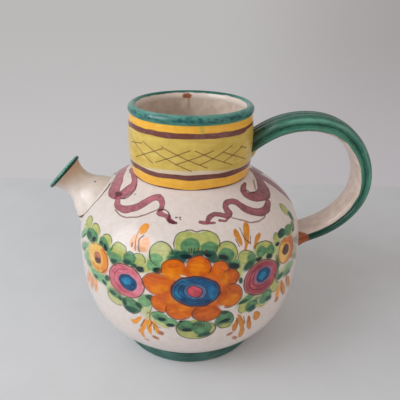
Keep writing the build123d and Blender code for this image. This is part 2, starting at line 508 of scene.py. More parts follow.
def make_shape_group():
    """Oval stroke: how far a place is from its middle (1 at its edge), and where it is in it."""
    inputs = {
        "Place": (0, 0, 0),
        "Middle": (0, 0, 0),
        "Across": (1, 0, 0),
        "Up": (0, 1, 0),
        "Bend": 0.0,
        "Taper": 0.0,
    }
    tree, n, given, out = new_group("stroke_shape", inputs, {"Reach": 0.0, "Local": (0, 0, 0)})
    away = n.vector("SUBTRACT", given["Place"], given["Middle"])
    x = n.vector("DOT_PRODUCT", away, given["Across"])
    y = n.vector("DOT_PRODUCT", away, given["Up"])
    bent = n.scaled(n.times(x, x), given["Bend"], y)
    narrowed = n.divided(bent, n.scaled(x, given["Taper"], 1.0))
    shaped = n.combine(x, narrowed)
    n.feed(out["Reach"], n.vector("LENGTH", shaped))
    n.feed(out["Local"], shaped)
    return tree


def make_lay_group():
    """Lays a stroke over what is below it, with darker pooled edges."""
    inputs = {
        **LAYER,
        "Reach": 2.0,
        "Soft": 0.1,
        "Cover": 1.0,
        "Pool": 0.3,
        "Stroke Light": (0.5, 0.5, 0.5, 1),
        "Stroke Dark": (0.5, 0.5, 0.5, 1),
        "Stroke Grain": (0, 0, 0),
    }
    tree, n, given, out = new_group("stroke_lay", inputs, LAYER)
    outer = n.plus(given["Soft"], 1.0)
    inner = n.minus(1.0, given["Soft"])
    mask = n.times(n.step(given["Reach"], outer, inner), given["Cover"])
    pooled = n.times(n.step(given["Reach"], 0.6, 1.0), given["Pool"])
    colour = n.mix(pooled, given["Stroke Light"], given["Stroke Dark"])
    n.feed(out["Light"], n.mix(mask, given["Light"], colour))
    n.feed(out["Dark"], n.mix(mask, given["Dark"], given["Stroke Dark"]))
    n.feed(out["Grain"], n.mix_vector(mask, given["Grain"], given["Stroke Grain"]))
    pass_place(n, given, out, mask)
    return tree


def make_rim_group():
    """Thin ink line along part of a stroke's edge."""
    inputs = {
        **LAYER,
        "Reach": 2.0,
        "Local": (0, 0, 0),
        "Width": 0.08,
        "Towards": (0, 1, 0),
        "Limit": -1.5,
        "Cover": 1.0,
        "Ink": (0.05, 0.03, 0.02, 1),
    }
    tree, n, given, out = new_group("stroke_rim", inputs, LAYER)
    away = n.absolute(n.minus(given["Reach"], 1.0))
    line = n.step(n.divided(away, given["Width"]), 1.4, 0.5)
    heading = n.vector("DOT_PRODUCT", n.vector("NORMALIZE", given["Local"]), given["Towards"])
    part = n.step(heading, n.minus(given["Limit"], 0.15), n.plus(given["Limit"], 0.15))
    mask = n.times(n.times(line, part), given["Cover"])
    n.feed(out["Light"], n.mix(mask, given["Light"], given["Ink"]))
    n.feed(out["Dark"], n.mix(mask, given["Dark"], given["Ink"]))
    n.feed(out["Grain"], given["Grain"])
    pass_place(n, given, out, mask)
    return tree


def make_run_group():
    """Straight run of a brush line: distance from it, as a share of its half width."""
    inputs = {
        "Place": (0, 0, 0),
        "Start": (0, 0, 0),
        "Step": (1, 0, 0),
        "Pull": (1, 0, 0),
        "Half": 1.0,
        "Gain": 0.0,
    }
    tree, n, given, out = new_group("stroke_run", inputs, {"Reach": 0.0})
    away = n.vector("SUBTRACT", given["Place"], given["Start"])
    along = n.math("MAXIMUM", n.vector("DOT_PRODUCT", away, given["Pull"]), 0.0)
    share = n.math("MINIMUM", along, 1.0)
    nearest = n.vector("SCALE", given["Step"], scale=share)
    distance = n.vector("DISTANCE", away, nearest)
    n.feed(out["Reach"], n.divided(distance, n.scaled(share, given["Gain"], given["Half"])))
    return tree


shape_group = make_shape_group()
lay_group = make_lay_group()
rim_group = make_rim_group()
run_group = make_run_group()

# Paint colours: light and dark, as they show on the jug
COLOURS = {
    "ground": ((226, 214, 208), (216, 201, 193)),
    "orange": ((226, 112, 6), (190, 76, 2)),
    "deep": ((212, 102, 14), (164, 64, 6)),
    "amber": ((238, 148, 12), (214, 106, 2)),
    "sprig": ((240, 162, 58), (222, 130, 36)),
    "sprig_deep": ((216, 142, 44), (180, 106, 36)),
    "sprig_end": ((190, 124, 84), (150, 92, 58)),
    "pale_orange": ((238, 172, 114), (222, 142, 86)),
    "blue": ((0, 92, 142), (0, 44, 80)),
    "blue_light": ((44, 144, 184), (10, 96, 142)),
    "violet": ((108, 140, 178), (70, 96, 146)),
    "pink_eye": ((216, 86, 98), (166, 52, 70)),
    "pink": ((236, 152, 164), (202, 96, 114)),
    "rose": ((206, 84, 106), (164, 54, 76)),
    "raspberry": ((182, 70, 86), (136, 46, 60)),
    "raspberry_light": ((202, 104, 118), (168, 72, 88)),
    "yellow": ((236, 198, 116), (218, 166, 70)),
    "yellow_orange": ((230, 148, 58), (204, 108, 32)),
    "orange_red": ((204, 112, 62), (170, 78, 42)),
    "salmon": ((200, 122, 96), (160, 84, 66)),
    "brown_eye": ((98, 56, 48), (60, 34, 32)),
    "leaf": ((192, 192, 120), (152, 162, 82)),
    "leaf_pale": ((200, 200, 140), (170, 176, 112)),
    "leaf_grey": ((164, 180, 142), (132, 152, 116)),
    "green": ((104, 152, 104), (54, 106, 76)),
    "green_pale": ((132, 178, 128), (92, 146, 102)),
    "dark": ((38, 90, 72), (10, 50, 46)),
    "darkest": ((10, 46, 48), (2, 26, 30)),
    "ribbon": ((188, 100, 114), (106, 44, 58)),
    "ribbon_deep": ((158, 78, 88), (88, 38, 48)),
    "ink": ((84, 44, 34), (58, 30, 26)),
    "ink_blue": ((22, 40, 52), (12, 26, 36)),
    "ink_green": ((62, 66, 40), (44, 48, 30)),
    "peach": ((244, 188, 146), (234, 160, 108)),
    "burnt": ((208, 98, 48), (186, 76, 32)),
    "ribbon_knot": ((104, 44, 58), (70, 26, 38)),
    "drip": ((176, 144, 112), (156, 120, 86)),
    "wash_green": ((188, 196, 134), (158, 174, 104)),
    "olive_grey": ((134, 138, 96), (98, 108, 76)),
    "ink_soft": ((150, 116, 104), (122, 88, 78)),
}
INK = "ink"

# Ways of laying a colour: softness of the edge, cover, and how much pools at the edge
WASH = (0.12, 0.99, 0.5)
BLOT = (0.34, 0.98, 0.2)
HAZE = (0.55, 0.6, 0.0)
VEIL = (0.4, 0.8, 0.1)
INK_WAY = (0.4, 0.8, 0.0)

# Ovals of the garland in their painting order: colour, way of laying, and for each oval degrees,
# height, half width and half height. Its turn in degrees, bend and taper may follow.
GARLAND = [
    # sprigs below and above
    ("sprig", WASH, [(112.6, 59.0, 5.4, 1.5, 53, 0.2, -0.3)]),
    ("sprig", BLOT, [(114.4, 56.3, 2.7, 2.0, 30)]),
    ("sprig", WASH, [(109.8, 54.5, 8.8, 1.7, 68, -0.5, -0.2)]),
    ("sprig", BLOT, [(111.0, 46.5, 4.6, 1.3, 92)]),
    ("sprig_end", HAZE, [(109.6, 40.4, 2.0, 1.6)]),
    ("sprig", WASH, [(106.9, 55.5, 7.6, 1.8, 90, 0.3, 0.2)]),
    ("sprig_end", BLOT, [(104.5, 46.2, 2.6, 1.7, -25)]),
    ("sprig", WASH, [(103.8, 56.4, 6.0, 1.7, -70, 0.4, 0.1)]),
    ("sprig_end", BLOT, [(101.4, 51.9, 2.3, 1.9, -30)]),
    ("sprig_deep", WASH, [(67.4, 55.4, 6.0, 1.8, 84, 0.3, -0.2)]),
    ("sprig_end", BLOT, [(69.5, 48.1, 2.4, 1.7, 20)]),
    ("sprig_deep", WASH, [(64.6, 57.5, 7.6, 2.0, -72, 0.3, 0.2), (63.1, 46.6, 6.6, 2.1, -86, 0, 0.1)]),
    ("sprig_end", BLOT, [(66.1, 41.8, 3.0, 1.8, -50)]),
    ("sprig_deep", WASH, [(60.1, 53.4, 7.6, 1.8, -78, -0.3, 0.2), (56.0, 57.4, 4.8, 2.8, -66, 0, 0.2)]),
    ("sprig", WASH, [(113.4, 117.8, 4.0, 3.3, 60)]),
    ("peach", BLOT, [(116.9, 111.8, 1.5, 4.0), (114.8, 111.6, 1.9, 5.2), (110.2, 111.4, 3.8, 4.6)]),
    ("sprig_deep", HAZE, [(111.4, 108.6, 4.6, 1.7)]),
    ("sprig_deep", WASH, [
        (64.4, 114.4, 5.6, 1.9, 100, 0, 0.25), (59.3, 115.2, 8.2, 2.6, 62, 0.15, 0.35),
        (55.0, 110.6, 6.0, 1.5, 36, 0.2, 0.3), (61.2, 110.0, 4.4, 1.0, 52, 0.2),
    ]),
    ("pale_orange", BLOT, [
        (148.0, 68.0, 10.5, 2.6, 48), (143.0, 68.5, 9.5, 2.8, 60), (138.6, 70.0, 7.5, 2.2, 75),
    ]),
    ("sprig", BLOT, [(42.8, 67.5, 8.0, 2.4, 100)]),
    ("sprig_deep", BLOT, [(38.0, 67.0, 10.0, 2.8, -58), (32.0, 67.5, 10.0, 2.8, -50)]),
    ("sprig_end", BLOT, [(42.3, 60.8, 2.4, 2.0)]),
    # pale green washed in between the leaves
    ("wash_green", VEIL, [
        (146.5, 103.5, 13.0, 5.5, 5), (132.5, 102.0, 9.0, 5.0), (123.5, 100.5, 8.5, 6.5),
        (112.5, 100.5, 9.5, 5.5), (103.0, 103.0, 7.5, 7.5), (97.5, 107.0, 5.0, 4.0),
        (68.0, 101.0, 5.0, 9.0), (60.0, 101.5, 9.0, 5.5), (50.5, 102.0, 9.0, 4.5),
        (42.5, 103.5, 6.0, 5.5), (30.5, 105.0, 9.5, 4.5), (45.0, 93.0, 4.0, 8.0),
        (143.5, 88.0, 7.5, 9.0, 30), (137.0, 81.0, 12.0, 5.0, 5), (127.5, 78.0, 6.0, 6.0, 20),
        (122.5, 72.0, 8.5, 5.5), (108.5, 73.0, 5.0, 8.0), (63.0, 72.5, 7.5, 6.5),
        (54.0, 71.0, 9.0, 6.0), (46.0, 77.0, 5.0, 7.0, 20), (37.5, 81.5, 9.0, 4.5, -8),
    ]),
    # outer greens, half hidden at the sides
    ("green_pale", BLOT, [(154.5, 98.0, 9.0, 3.0, 40)]),
    ("dark", BLOT, [(152.6, 97.6, 5.0, 0.9, 40)]),
    ("green", VEIL, [(151.5, 90.5, 9.0, 3.0, 35)]),
    ("green_pale", VEIL, [(148.0, 93.5, 7.5, 2.0, 35), (146.5, 87.0, 8.0, 3.0, 35)]),
    ("dark", HAZE, [(150.2, 89.4, 2.8, 1.6, 35)]),
    ("green", VEIL, [(143.8, 83.4, 5.0, 2.6, 25)]),
    ("green_pale", BLOT, [(136.9, 79.2, 7.0, 4.2), (131.5, 80.0, 4.4, 4.0)]),
    ("dark", BLOT, [
        (137.4, 77.6, 2.3, 1.8, 20), (131.1, 77.8, 2.3, 1.9, -10), (128.3, 83.2, 2.8, 2.2, 40),
    ]),
    ("olive_grey", VEIL, [(24.0, 94.5, 9.0, 2.4, -35)]),
    ("leaf_grey", VEIL, [(26.5, 90.0, 8.5, 3.0, -35)]),
    ("olive_grey", VEIL, [(27.0, 84.5, 9.0, 2.4, -30)]),
    ("green_pale", VEIL, [(33.0, 82.0, 8.0, 3.4, -20)]),
    ("green", VEIL, [(36.6, 79.4, 6.5, 2.8, -15)]),
    ("dark", VEIL, [(33.8, 77.0, 4.4, 1.5, -12)]),
    ("dark", BLOT, [(42.6, 80.6, 4.2, 2.4, -6)]),
    ("green", BLOT, [(45.4, 85.4, 2.8, 4.4, 20), (44.2, 93.2, 2.8, 4.6, 8)]),
    ("dark", BLOT, [(44.6, 91.6, 1.2, 3.6, 12)]),
    # left chain of leaves, above
    ("leaf", WASH, [(152.2, 107.4, 6.4, 4.2, 6), (142.6, 107.8, 6.4, 3.4, -5)]),
    ("green", WASH, [(144.0, 103.5, 8.8, 4.4, 6)]),
    ("dark", BLOT, [(146.6, 102.2, 4.4, 2.4, 10)]),
    ("darkest", BLOT, [(141.2, 102.6, 3.0, 1.6, 35)]),
    ("leaf", WASH, [(131.6, 107.0, 5.0, 3.4)]),
    ("green", WASH, [(132.6, 104.2, 5.8, 3.2, -18)]),
    ("dark", BLOT, [(134.6, 103.4, 2.6, 1.6)]),
    ("darkest", BLOT, [(130.8, 102.8, 2.8, 1.6, -35)]),
    ("leaf", WASH, [(122.7, 104.6, 6.3, 4.6)]),
    ("green", BLOT, [(123.3, 99.0, 5.6, 3.9)]),
    ("dark", BLOT, [(124.4, 97.4, 3.0, 1.6, 15)]),
    ("leaf", WASH, [(111.6, 103.0, 5.0, 3.7)]),
    ("green", WASH, [(115.9, 102.5, 4.6, 3.8, 20)]),
    ("dark", BLOT, [(117.2, 99.8, 3.4, 2.0, 10), (113.6, 98.6, 2.4, 1.6)]),
    ("darkest", BLOT, [(110.4, 97.6, 3.4, 2.0, 8)]),
    ("leaf", BLOT, [(107.7, 98.8, 1.9, 2.4)]),
    ("green", BLOT, [(106.2, 101.4, 1.6, 3.4), (128.0, 101.4, 1.8, 3.4, -20)]),
    # left chain, below
    ("leaf_pale", WASH, [(124.2, 70.2, 6.6, 4.6)]),
    ("green", BLOT, [(123.8, 74.2, 6.6, 3.4, -6)]),
    ("dark", BLOT, [(125.4, 74.0, 2.8, 1.8), (121.2, 72.0, 2.4, 1.8, -30)]),
    ("green_pale", WASH, [(108.2, 76.4, 4.2, 4.8, -30)]),
    ("green", WASH, [(115.1, 69.8, 7.0, 6.2)]),
    ("dark", BLOT, [
        (115.2, 66.6, 5.2, 2.6, 5), (118.6, 70.8, 1.8, 3.0), (111.0, 71.6, 2.9, 2.0, -30),
        (105.3, 80.3, 3.4, 2.2, 5),
    ]),
    # leaves over the big flower
    ("leaf_pale", WASH, [(101.7, 108.7, 8.0, 6.5)]),
    ("green_pale", WASH, [(103.7, 105.8, 4.6, 2.6)]),
    ("green_pale", BLOT, [(103.8, 101.2, 4.6, 3.2)]),
    ("darkest", BLOT, [(102.5, 99.1, 3.2, 1.8)]),
    ("leaf", WASH, [(90.1, 114.2, 8.4, 7.4), (79.8, 114.8, 7.6, 6.8, -12), (85.1, 114.3, 9.0, 6.6)]),
    ("green", WASH, [(88.5, 113.0, 6.9, 4.6), (79.5, 111.6, 6.2, 3.8)]),
    ("green", BLOT, [(95.5, 109.2, 3.3, 2.8), (96.4, 106.6, 3.6, 3.0)]),
    ("dark", BLOT, [
        (93.4, 106.2, 5.6, 2.8), (77.4, 106.2, 6.4, 2.8), (92.0, 109.0, 5.4, 2.2, -6),
        (84.8, 109.2, 4.4, 2.0, 6),
    ]),
    ("darkest", BLOT, [(90.0, 107.9, 4.4, 1.6)]),
    ("dark", BLOT, [(79.6, 109.0, 4.8, 2.0, -10)]),
    ("darkest", BLOT, [(80.4, 108.4, 2.6, 1.0, -10)]),
    ("leaf", WASH, [(71.6, 108.8, 7.2, 6.2)]),
    ("green", WASH, [(72.2, 107.2, 5.6, 4.2)]),
    ("dark", HAZE, [(73.4, 105.4, 4.8, 2.6, -8)]),
    ("darkest", BLOT, [(73.7, 106.2, 3.6, 1.6, -12)]),
    ("leaf", BLOT, [(67.6, 97.0, 2.6, 6.0)]),
    ("green", BLOT, [(68.0, 102.6, 3.0, 2.0)]),
    ("dark", BLOT, [(70.2, 101.4, 3.8, 2.2, -20)]),
    ("darkest", BLOT, [(68.9, 100.4, 3.4, 2.0, -10)]),
    ("dark", BLOT, [(66.3, 90.3, 1.4, 2.2)]),
    # right chain, above
    ("leaf", WASH, [(63.0, 104.2, 5.2, 4.2)]),
    ("green", BLOT, [(60.2, 102.5, 3.4, 4.1)]),
    ("dark", BLOT, [(62.0, 98.7, 4.7, 2.6, 25)]),
    ("leaf", WASH, [(52.4, 105.8, 7.8, 3.8, -6)]),
    ("green", WASH, [(54.1, 104.2, 4.6, 3.2, 10), (48.7, 102.8, 4.4, 2.9, -10)]),
    ("darkest", BLOT, [(56.4, 100.5, 3.0, 1.4), (50.1, 99.7, 3.1, 1.7, -10)]),
    ("leaf", WASH, [(42.1, 107.0, 3.4, 3.2)]),
    ("dark", WASH, [(37.2, 107.6, 5.2, 2.8)]),
    ("green", WASH, [(30.3, 106.4, 6.8, 3.2)]),
    ("darkest", BLOT, [(42.8, 103.8, 2.5, 1.3)]),
    ("dark", BLOT, [(24.6, 103.2, 3.2, 1.4)]),
    ("leaf", WASH, [(21.8, 115.0, 4.6, 4.6)]),
    ("green", BLOT, [(19.6, 109.6, 3.8, 4.2), (23.6, 105.6, 3.8, 3.0)]),
    ("dark", BLOT, [(20.4, 109.6, 1.6, 3.6)]),
    # right chain, below
    ("leaf", WASH, [(63.9, 68.9, 4.2, 4.4)]),
    ("green", BLOT, [(62.2, 75.4, 5.4, 2.8, 20)]),
    ("dark", BLOT, [(64.6, 73.9, 3.8, 1.5, 10)]),
    ("leaf", BLOT, [(47.1, 75.4, 3.6, 5.0, 20)]),
    ("green", WASH, [(59.8, 68.3, 4.9, 4.7)]),
    ("dark", BLOT, [(59.5, 66.8, 3.8, 2.4)]),
    ("dark", HAZE, [(57.4, 72.4, 3.0, 1.6, 20)]),
    ("leaf_pale", BLOT, [(54.6, 65.6, 4.6, 2.0, -20)]),
    ("green", WASH, [(51.8, 70.9, 5.4, 5.6, -30)]),
    ("dark", BLOT, [(49.8, 67.8, 3.3, 2.1, -20)]),
    # leaves under the big flower
    ("leaf_pale", BLOT, [(106.4, 66.3, 2.4, 4.2)]),
    ("leaf_pale", WASH, [(101.0, 60.4, 6.0, 2.6, -25)]),
    ("green_pale", WASH, [(101.4, 66.0, 5.8, 4.2, -20), (97.0, 62.6, 4.8, 3.8, -10)]),
    ("dark", HAZE, [(101.6, 65.0, 4.4, 2.4, -10)]),
    ("darkest", BLOT, [(100.8, 64.3, 3.0, 1.6), (96.8, 60.3, 2.8, 1.7, 5)]),
    ("leaf", WASH, [(85.8, 57.0, 12.2, 8.6)]),
    ("green", WASH, [(90.1, 60.6, 5.4, 4.6), (83.2, 58.2, 6.0, 6.6, 20)]),
    ("dark", HAZE, [(90.4, 57.6, 4.6, 2.4), (85.0, 61.6, 3.2, 1.8)]),
    ("darkest", BLOT, [(89.5, 56.8, 3.2, 1.6)]),
    ("dark", BLOT, [(82.0, 51.9, 5.0, 2.1, 15)]),
    ("darkest", BLOT, [(92.2, 63.7, 1.2, 0.8, 30)]),
    ("green", WASH, [(73.1, 62.6, 6.2, 6.6)]),
    ("leaf", BLOT, [(72.2, 57.6, 4.6, 2.2, -10)]),
    ("dark", HAZE, [(73.4, 60.6, 5.0, 2.6, 10)]),
    ("darkest", BLOT, [(72.6, 61.8, 3.6, 1.5, 15)]),
    ("dark", BLOT, [(73.7, 69.4, 3.6, 1.6, -10)]),
    # left yellow flower
    ("yellow", WASH, [(136.2, 93.0, 11.8, 9.4)]),
    ("yellow_orange", WASH, [(131.2, 93.2, 5.2, 8.4, 8)]),
    ("yellow_orange", BLOT, [(136.6, 86.6, 5.4, 2.4)]),
    ("yellow", BLOT, [(135.7, 93.0, 5.6, 5.8)]),
    ("salmon", WASH, [(135.7, 93.3, 4.1, 4.1)]),
    ("brown_eye", BLOT, [(135.3, 91.6, 3.3, 2.3, 20)]),
    # left pink flower
    ("pink", WASH, [(117.5, 86.8, 13.4, 11.0, -4)]),
    ("rose", HAZE, [(122.4, 84.6, 6.0, 8.6, 20), (117.4, 79.4, 8.4, 2.8, -6), (118.0, 94.6, 7.6, 2.4)]),
    ("violet", WASH, [(116.3, 86.7, 7.0, 5.7, -8)]),
    ("blue", WASH, [(116.3, 86.7, 6.0, 4.8, -8)]),
    ("blue_light", BLOT, [(117.0, 87.2, 3.4, 2.4)]),
    # right raspberry flower
    ("raspberry", WASH, [(55.1, 87.3, 14.0, 11.8, 4)]),
    ("raspberry_light", HAZE, [(59.8, 89.2, 5.0, 7.4), (49.2, 89.0, 4.0, 6.4)]),
    ("violet", BLOT, [(54.4, 89.1, 6.4, 5.3)]),
    ("blue", WASH, [(54.4, 89.2, 5.4, 4.4)]),
    ("blue_light", BLOT, [(54.8, 88.8, 3.0, 2.4)]),
    # right yellow flower
    ("yellow_orange", WASH, [(36.1, 95.9, 11.0, 8.4)]),
    ("yellow", BLOT, [(40.3, 95.6, 5.0, 6.6)]),
    ("orange_red", BLOT, [(31.4, 96.2, 4.6, 7.6)]),
    ("yellow", BLOT, [(37.2, 96.0, 6.0, 4.8)]),
    ("brown_eye", WASH, [(37.3, 96.8, 4.5, 3.3)]),
    # big flower: ground, petals, eye
    ("orange", WASH, [(86.6, 87.0, 22.0, 16.6)]),
    ("deep", WASH, [(81.3, 70.4, 9.2, 6.6)]),
    ("orange", WASH, [
        (93.0, 72.0, 8.2, 6.6, -8), (100.3, 77.4, 7.4, 6.8), (102.3, 90.3, 9.8, 7.2, -6),
    ]),
    ("amber", HAZE, [(101.4, 87.0, 5.0, 2.8, 20)]),
    ("orange", WASH, [(95.7, 100.8, 7.6, 6.0, 6)]),
    ("amber", HAZE, [(97.4, 99.0, 5.4, 2.8, 10), (92.9, 98.4, 2.4, 2.6)]),
    ("orange", WASH, [(75.4, 99.8, 5.8, 5.2, -14), (84.8, 102.4, 7.8, 6.6)]),
    ("amber", HAZE, [(85.6, 101.9, 4.8, 3.8)]),
    ("deep", WASH, [(71.2, 94.0, 6.0, 5.6)]),
    ("amber", HAZE, [(73.6, 93.6, 3.0, 3.4)]),
    ("deep", WASH, [(71.2, 81.2, 8.0, 8.4, 10)]),
    ("amber", HAZE, [(69.4, 78.6, 3.2, 4.2), (95.6, 79.6, 3.4, 2.4)]),
    ("burnt", HAZE, [(103.8, 93.4, 5.0, 2.4), (100.2, 81.6, 3.2, 3.6)]),
    ("amber", HAZE, [(94.6, 96.6, 4.2, 2.6), (91.0, 74.6, 4.6, 2.4), (72.6, 76.6, 3.4, 2.2)]),
    ("blue", WASH, [(86.1, 86.7, 14.8, 10.4, -4)]),
    ("blue_light", HAZE, [(91.0, 93.2, 3.8, 2.0), (94.0, 85.4, 2.4, 5.0), (78.6, 84.8, 2.6, 4.6, 20)]),
    ("violet", BLOT, [(86.3, 87.2, 6.7, 5.2, -18)]),
    ("pink_eye", WASH, [(86.6, 87.3, 4.9, 3.9, -22)]),
    ("raspberry", HAZE, [(84.8, 85.4, 2.8, 2.2, -22)]),
    ("ground", BLOT, [(88.6, 66.6, 1.5, 1.1), (74.4, 73.6, 1.5, 1.5), (91.2, 96.9, 1.8, 0.5, -8)]),
]

# Ink lines lie this far inside the ovals that they are given by
outline_inset = 0.3
outline_cover = 0.85
ribbon_cover = 0.92

# Ink lines along ovals in their painting order: ink, and for each line degrees, height, half
# width, half height, turn, middle of the drawn part in degrees, half of that part in degrees
# and width in millimetres
OUTLINES = [
    ("ink_green", [
        (90.1, 60.6, 5.8, 5.0, 0, 200, 90, 0.4), (83.2, 58.2, 6.4, 7.0, 20, 330, 80, 0.4),
        (59.8, 68.3, 5.3, 5.1, 0, 330, 90, 0.4), (97.0, 62.6, 5.2, 4.2, -10, 330, 90, 0.4),
        (123.3, 99.0, 6.0, 4.3, 0, 200, 80, 0.4), (60.2, 102.5, 3.8, 4.5, 0, 0, 90, 0.4),
        (152.2, 102.0, 5.4, 4.4, 20, 180, 90, 0.4), (152.2, 107.4, 6.8, 4.7, 6, 90, 60, 0.5),
        (142.6, 107.6, 6.8, 4.0, -5, 90, 75, 0.5), (131.6, 106.8, 5.4, 4.0, 0, 80, 85, 0.6),
        (122.7, 104.4, 6.6, 5.2, 0, 100, 95, 0.6), (111.9, 102.6, 5.4, 4.4, 0, 70, 80, 0.6),
        (115.9, 102.0, 5.0, 4.8, 20, 120, 80, 0.5), (124.2, 70.2, 7.0, 5.2, 0, 235, 85, 0.6),
        (115.1, 69.8, 7.4, 6.7, 0, 300, 100, 0.6), (108.2, 74.0, 4.8, 7.6, 0, 350, 70, 0.5),
        (144.0, 103.5, 9.2, 4.9, 6, 250, 60, 0.5), (46.6, 76.0, 4.4, 6.0, 20, 230, 80, 0.5),
        (44.2, 93.2, 3.4, 5.4, 8, 180, 80, 0.5), (101.7, 108.7, 8.2, 6.9, 0, 110, 110, 0.7),
        (101.7, 107.6, 7.8, 7.0, 0, 215, 45, 0.6), (90.3, 113.9, 8.9, 8.0, 0, 146, 56, 0.8),
        (79.7, 114.2, 8.2, 7.5, -8, 36, 60, 0.8), (71.6, 108.8, 7.5, 6.6, 0, 60, 112, 0.8),
        (63.0, 104.0, 5.6, 4.7, 0, 100, 80, 0.6), (52.4, 105.6, 8.2, 4.4, -6, 85, 85, 0.7),
        (42.0, 106.6, 4.0, 4.0, 0, 100, 70, 0.6), (21.8, 115.0, 5.0, 5.0, 0, 100, 110, 0.7),
        (101.0, 63.4, 8.2, 7.2, -20, 190, 95, 0.6), (85.8, 56.8, 12.6, 9.0, 0, 262, 138, 0.8),
        (73.1, 62.4, 6.6, 7.0, 0, 320, 140, 0.8), (63.9, 68.9, 4.6, 4.8, 0, 200, 60, 0.5),
        (52.0, 70.0, 6.4, 6.4, -30, 280, 60, 0.5),
    ]),
    (INK, [
        (136.2, 93.0, 12.0, 9.7, 0, 10, 95, 0.5), (117.5, 86.8, 13.7, 11.4, -4, 0, 180, 0.7),
        (117.0, 86.8, 10.2, 8.4, -4, 180, 95, 0.4),
    ]),
    ("ink_blue", [(116.3, 86.7, 6.6, 5.3, -8, 0, 180, 0.7)]),
    (INK, [
        (55.1, 87.3, 14.4, 12.2, 4, 0, 180, 0.8), (55.0, 87.6, 10.6, 9.0, 4, 200, 110, 0.8),
        (54.6, 88.4, 8.2, 7.0, 4, 215, 80, 0.8),
    ]),
    ("ink_blue", [(54.4, 89.2, 5.8, 4.8, 0, 0, 180, 0.6)]),
    (INK, [
        (36.1, 95.9, 11.4, 8.8, 0, 200, 120, 0.5), (37.3, 96.8, 4.7, 3.5, 0, 0, 180, 0.6),
        (81.3, 70.4, 9.4, 6.9, 0, 250, 120, 0.7), (93.0, 72.0, 8.4, 6.9, -8, 245, 85, 0.7),
        (100.3, 77.4, 7.7, 7.1, 0, 215, 70, 0.6), (102.3, 90.3, 10.0, 7.5, -6, 170, 100, 0.5),
        (95.7, 100.8, 7.9, 6.3, 6, 110, 90, 0.6), (75.4, 99.8, 6.1, 5.5, -14, 60, 75, 0.6),
        (84.8, 102.4, 8.1, 6.9, 0, 60, 100, 0.7), (71.2, 94.0, 6.3, 5.9, 0, 30, 95, 0.7),
        (71.2, 81.2, 8.4, 8.8, 10, 340, 105, 0.8),
    ]),
    ("ink_blue", [
        (86.1, 86.7, 15.0, 10.6, -4, 0, 180, 0.9), (86.8, 86.5, 12.2, 8.6, -5, 200, 100, 0.45),
        (86.7, 86.7, 9.8, 7.0, -8, 195, 125, 0.45), (86.4, 87.0, 7.6, 5.8, -14, 0, 180, 0.5),
        (86.6, 87.3, 5.3, 4.3, -22, 0, 180, 0.6),
    ]),
]

# The belly is painted in cells between these degrees and heights
CELL_DEGREES = [0.0, 22.5, 45.0, 67.5, 90.0, 112.5, 135.0, 157.5, 180.0]
CELL_HEIGHTS = [8.5, 34.0, 60.0, 82.0, 104.0, 119.0, 134.8]

# Short ink strokes on the belly's side: pairs of degrees and height, half width
TICKS = [
    ([(90.6, 119.4), (87.6, 119.5), (84.8, 119.0), (82.0, 119.5), (79.0, 119.2)], 0.4),
    ([(89.2, 112.0), (89.0, 110.0)], 0.45),
    ([(88.1, 112.0), (88.0, 109.8)], 0.45),
    ([(86.6, 111.9), (87.0, 110.0)], 0.45),
    ([(84.9, 112.0), (84.9, 110.2)], 0.4),
    ([(81.0, 111.0), (81.2, 109.0)], 0.4),
    ([(84.4, 62.4), (84.5, 59.4)], 0.35),
    ([(83.2, 62.6), (83.3, 59.0)], 0.35),
    ([(82.0, 62.2), (82.2, 59.2)], 0.35),
    ([(86.6, 62.0), (86.4, 60.0)], 0.3),
    ([(115.6, 116.2), (115.6, 113.0), (114.9, 110.4), (113.8, 107.8)], 0.35),
    ([(112.1, 115.1), (113.0, 113.9), (113.5, 112.2), (112.9, 109.6), (111.8, 107.4)], 0.5),
    ([(116.5, 110.4), (116.2, 108.9)], 0.6),
    ([(62.0, 118.0), (61.4, 113.2), (59.2, 110.0)], 0.4),
    ([(57.6, 113.5), (59.2, 110.6)], 0.4),
    ([(66.0, 113.8), (65.0, 110.2)], 0.35),
    ([(109.0, 60.4), (111.4, 54.0)], 0.4),
    ([(105.6, 60.0), (106.8, 55.0)], 0.35),
    ([(104.6, 57.0), (104.5, 53.6)], 0.35),
    ([(67.2, 61.6), (66.6, 57.0)], 0.4),
    ([(63.4, 61.4), (62.4, 54.0)], 0.35),
    ([(60.6, 60.0), (60.0, 55.0)], 0.4),
    ([(48.0, 86.0), (45.4, 79.0), (43.0, 76.0)], 0.4),
    ([(151.0, 74.5), (147.0, 68.0), (144.6, 61.0)], 0.35),
    ([(146.5, 76.0), (142.0, 70.0), (140.4, 63.0)], 0.35),
    ([(40.6, 75.0), (39.4, 68.0), (36.4, 60.0)], 0.35),
    ([(35.6, 76.0), (34.8, 68.0), (31.6, 61.0)], 0.35),
]

# Line painted round the spout's root: degrees, height and half width
SPOUT_LINE = [
    (171.0, 125.0, 1.0), (165.0, 122.7, 0.9), (161.8, 119.4, 0.8), (160.9, 116.0, 0.75),
    (161.4, 111.8, 0.75), (163.6, 106.8, 0.75), (167.2, 102.2, 0.75), (172.5, 98.6, 0.6),
    (180.0, 96.8, 0.6),
]
SPOUT_STAIN = [(175.0, 126.6, 1.6), (168.5, 124.6, 2.0), (164.0, 121.6, 1.2)]

# Lines round the spout's root in their painting order: spots, colour and cover
SPOUT_RUNS = [(SPOUT_STAIN, "drip", 0.6), (SPOUT_LINE, INK, 0.95)]

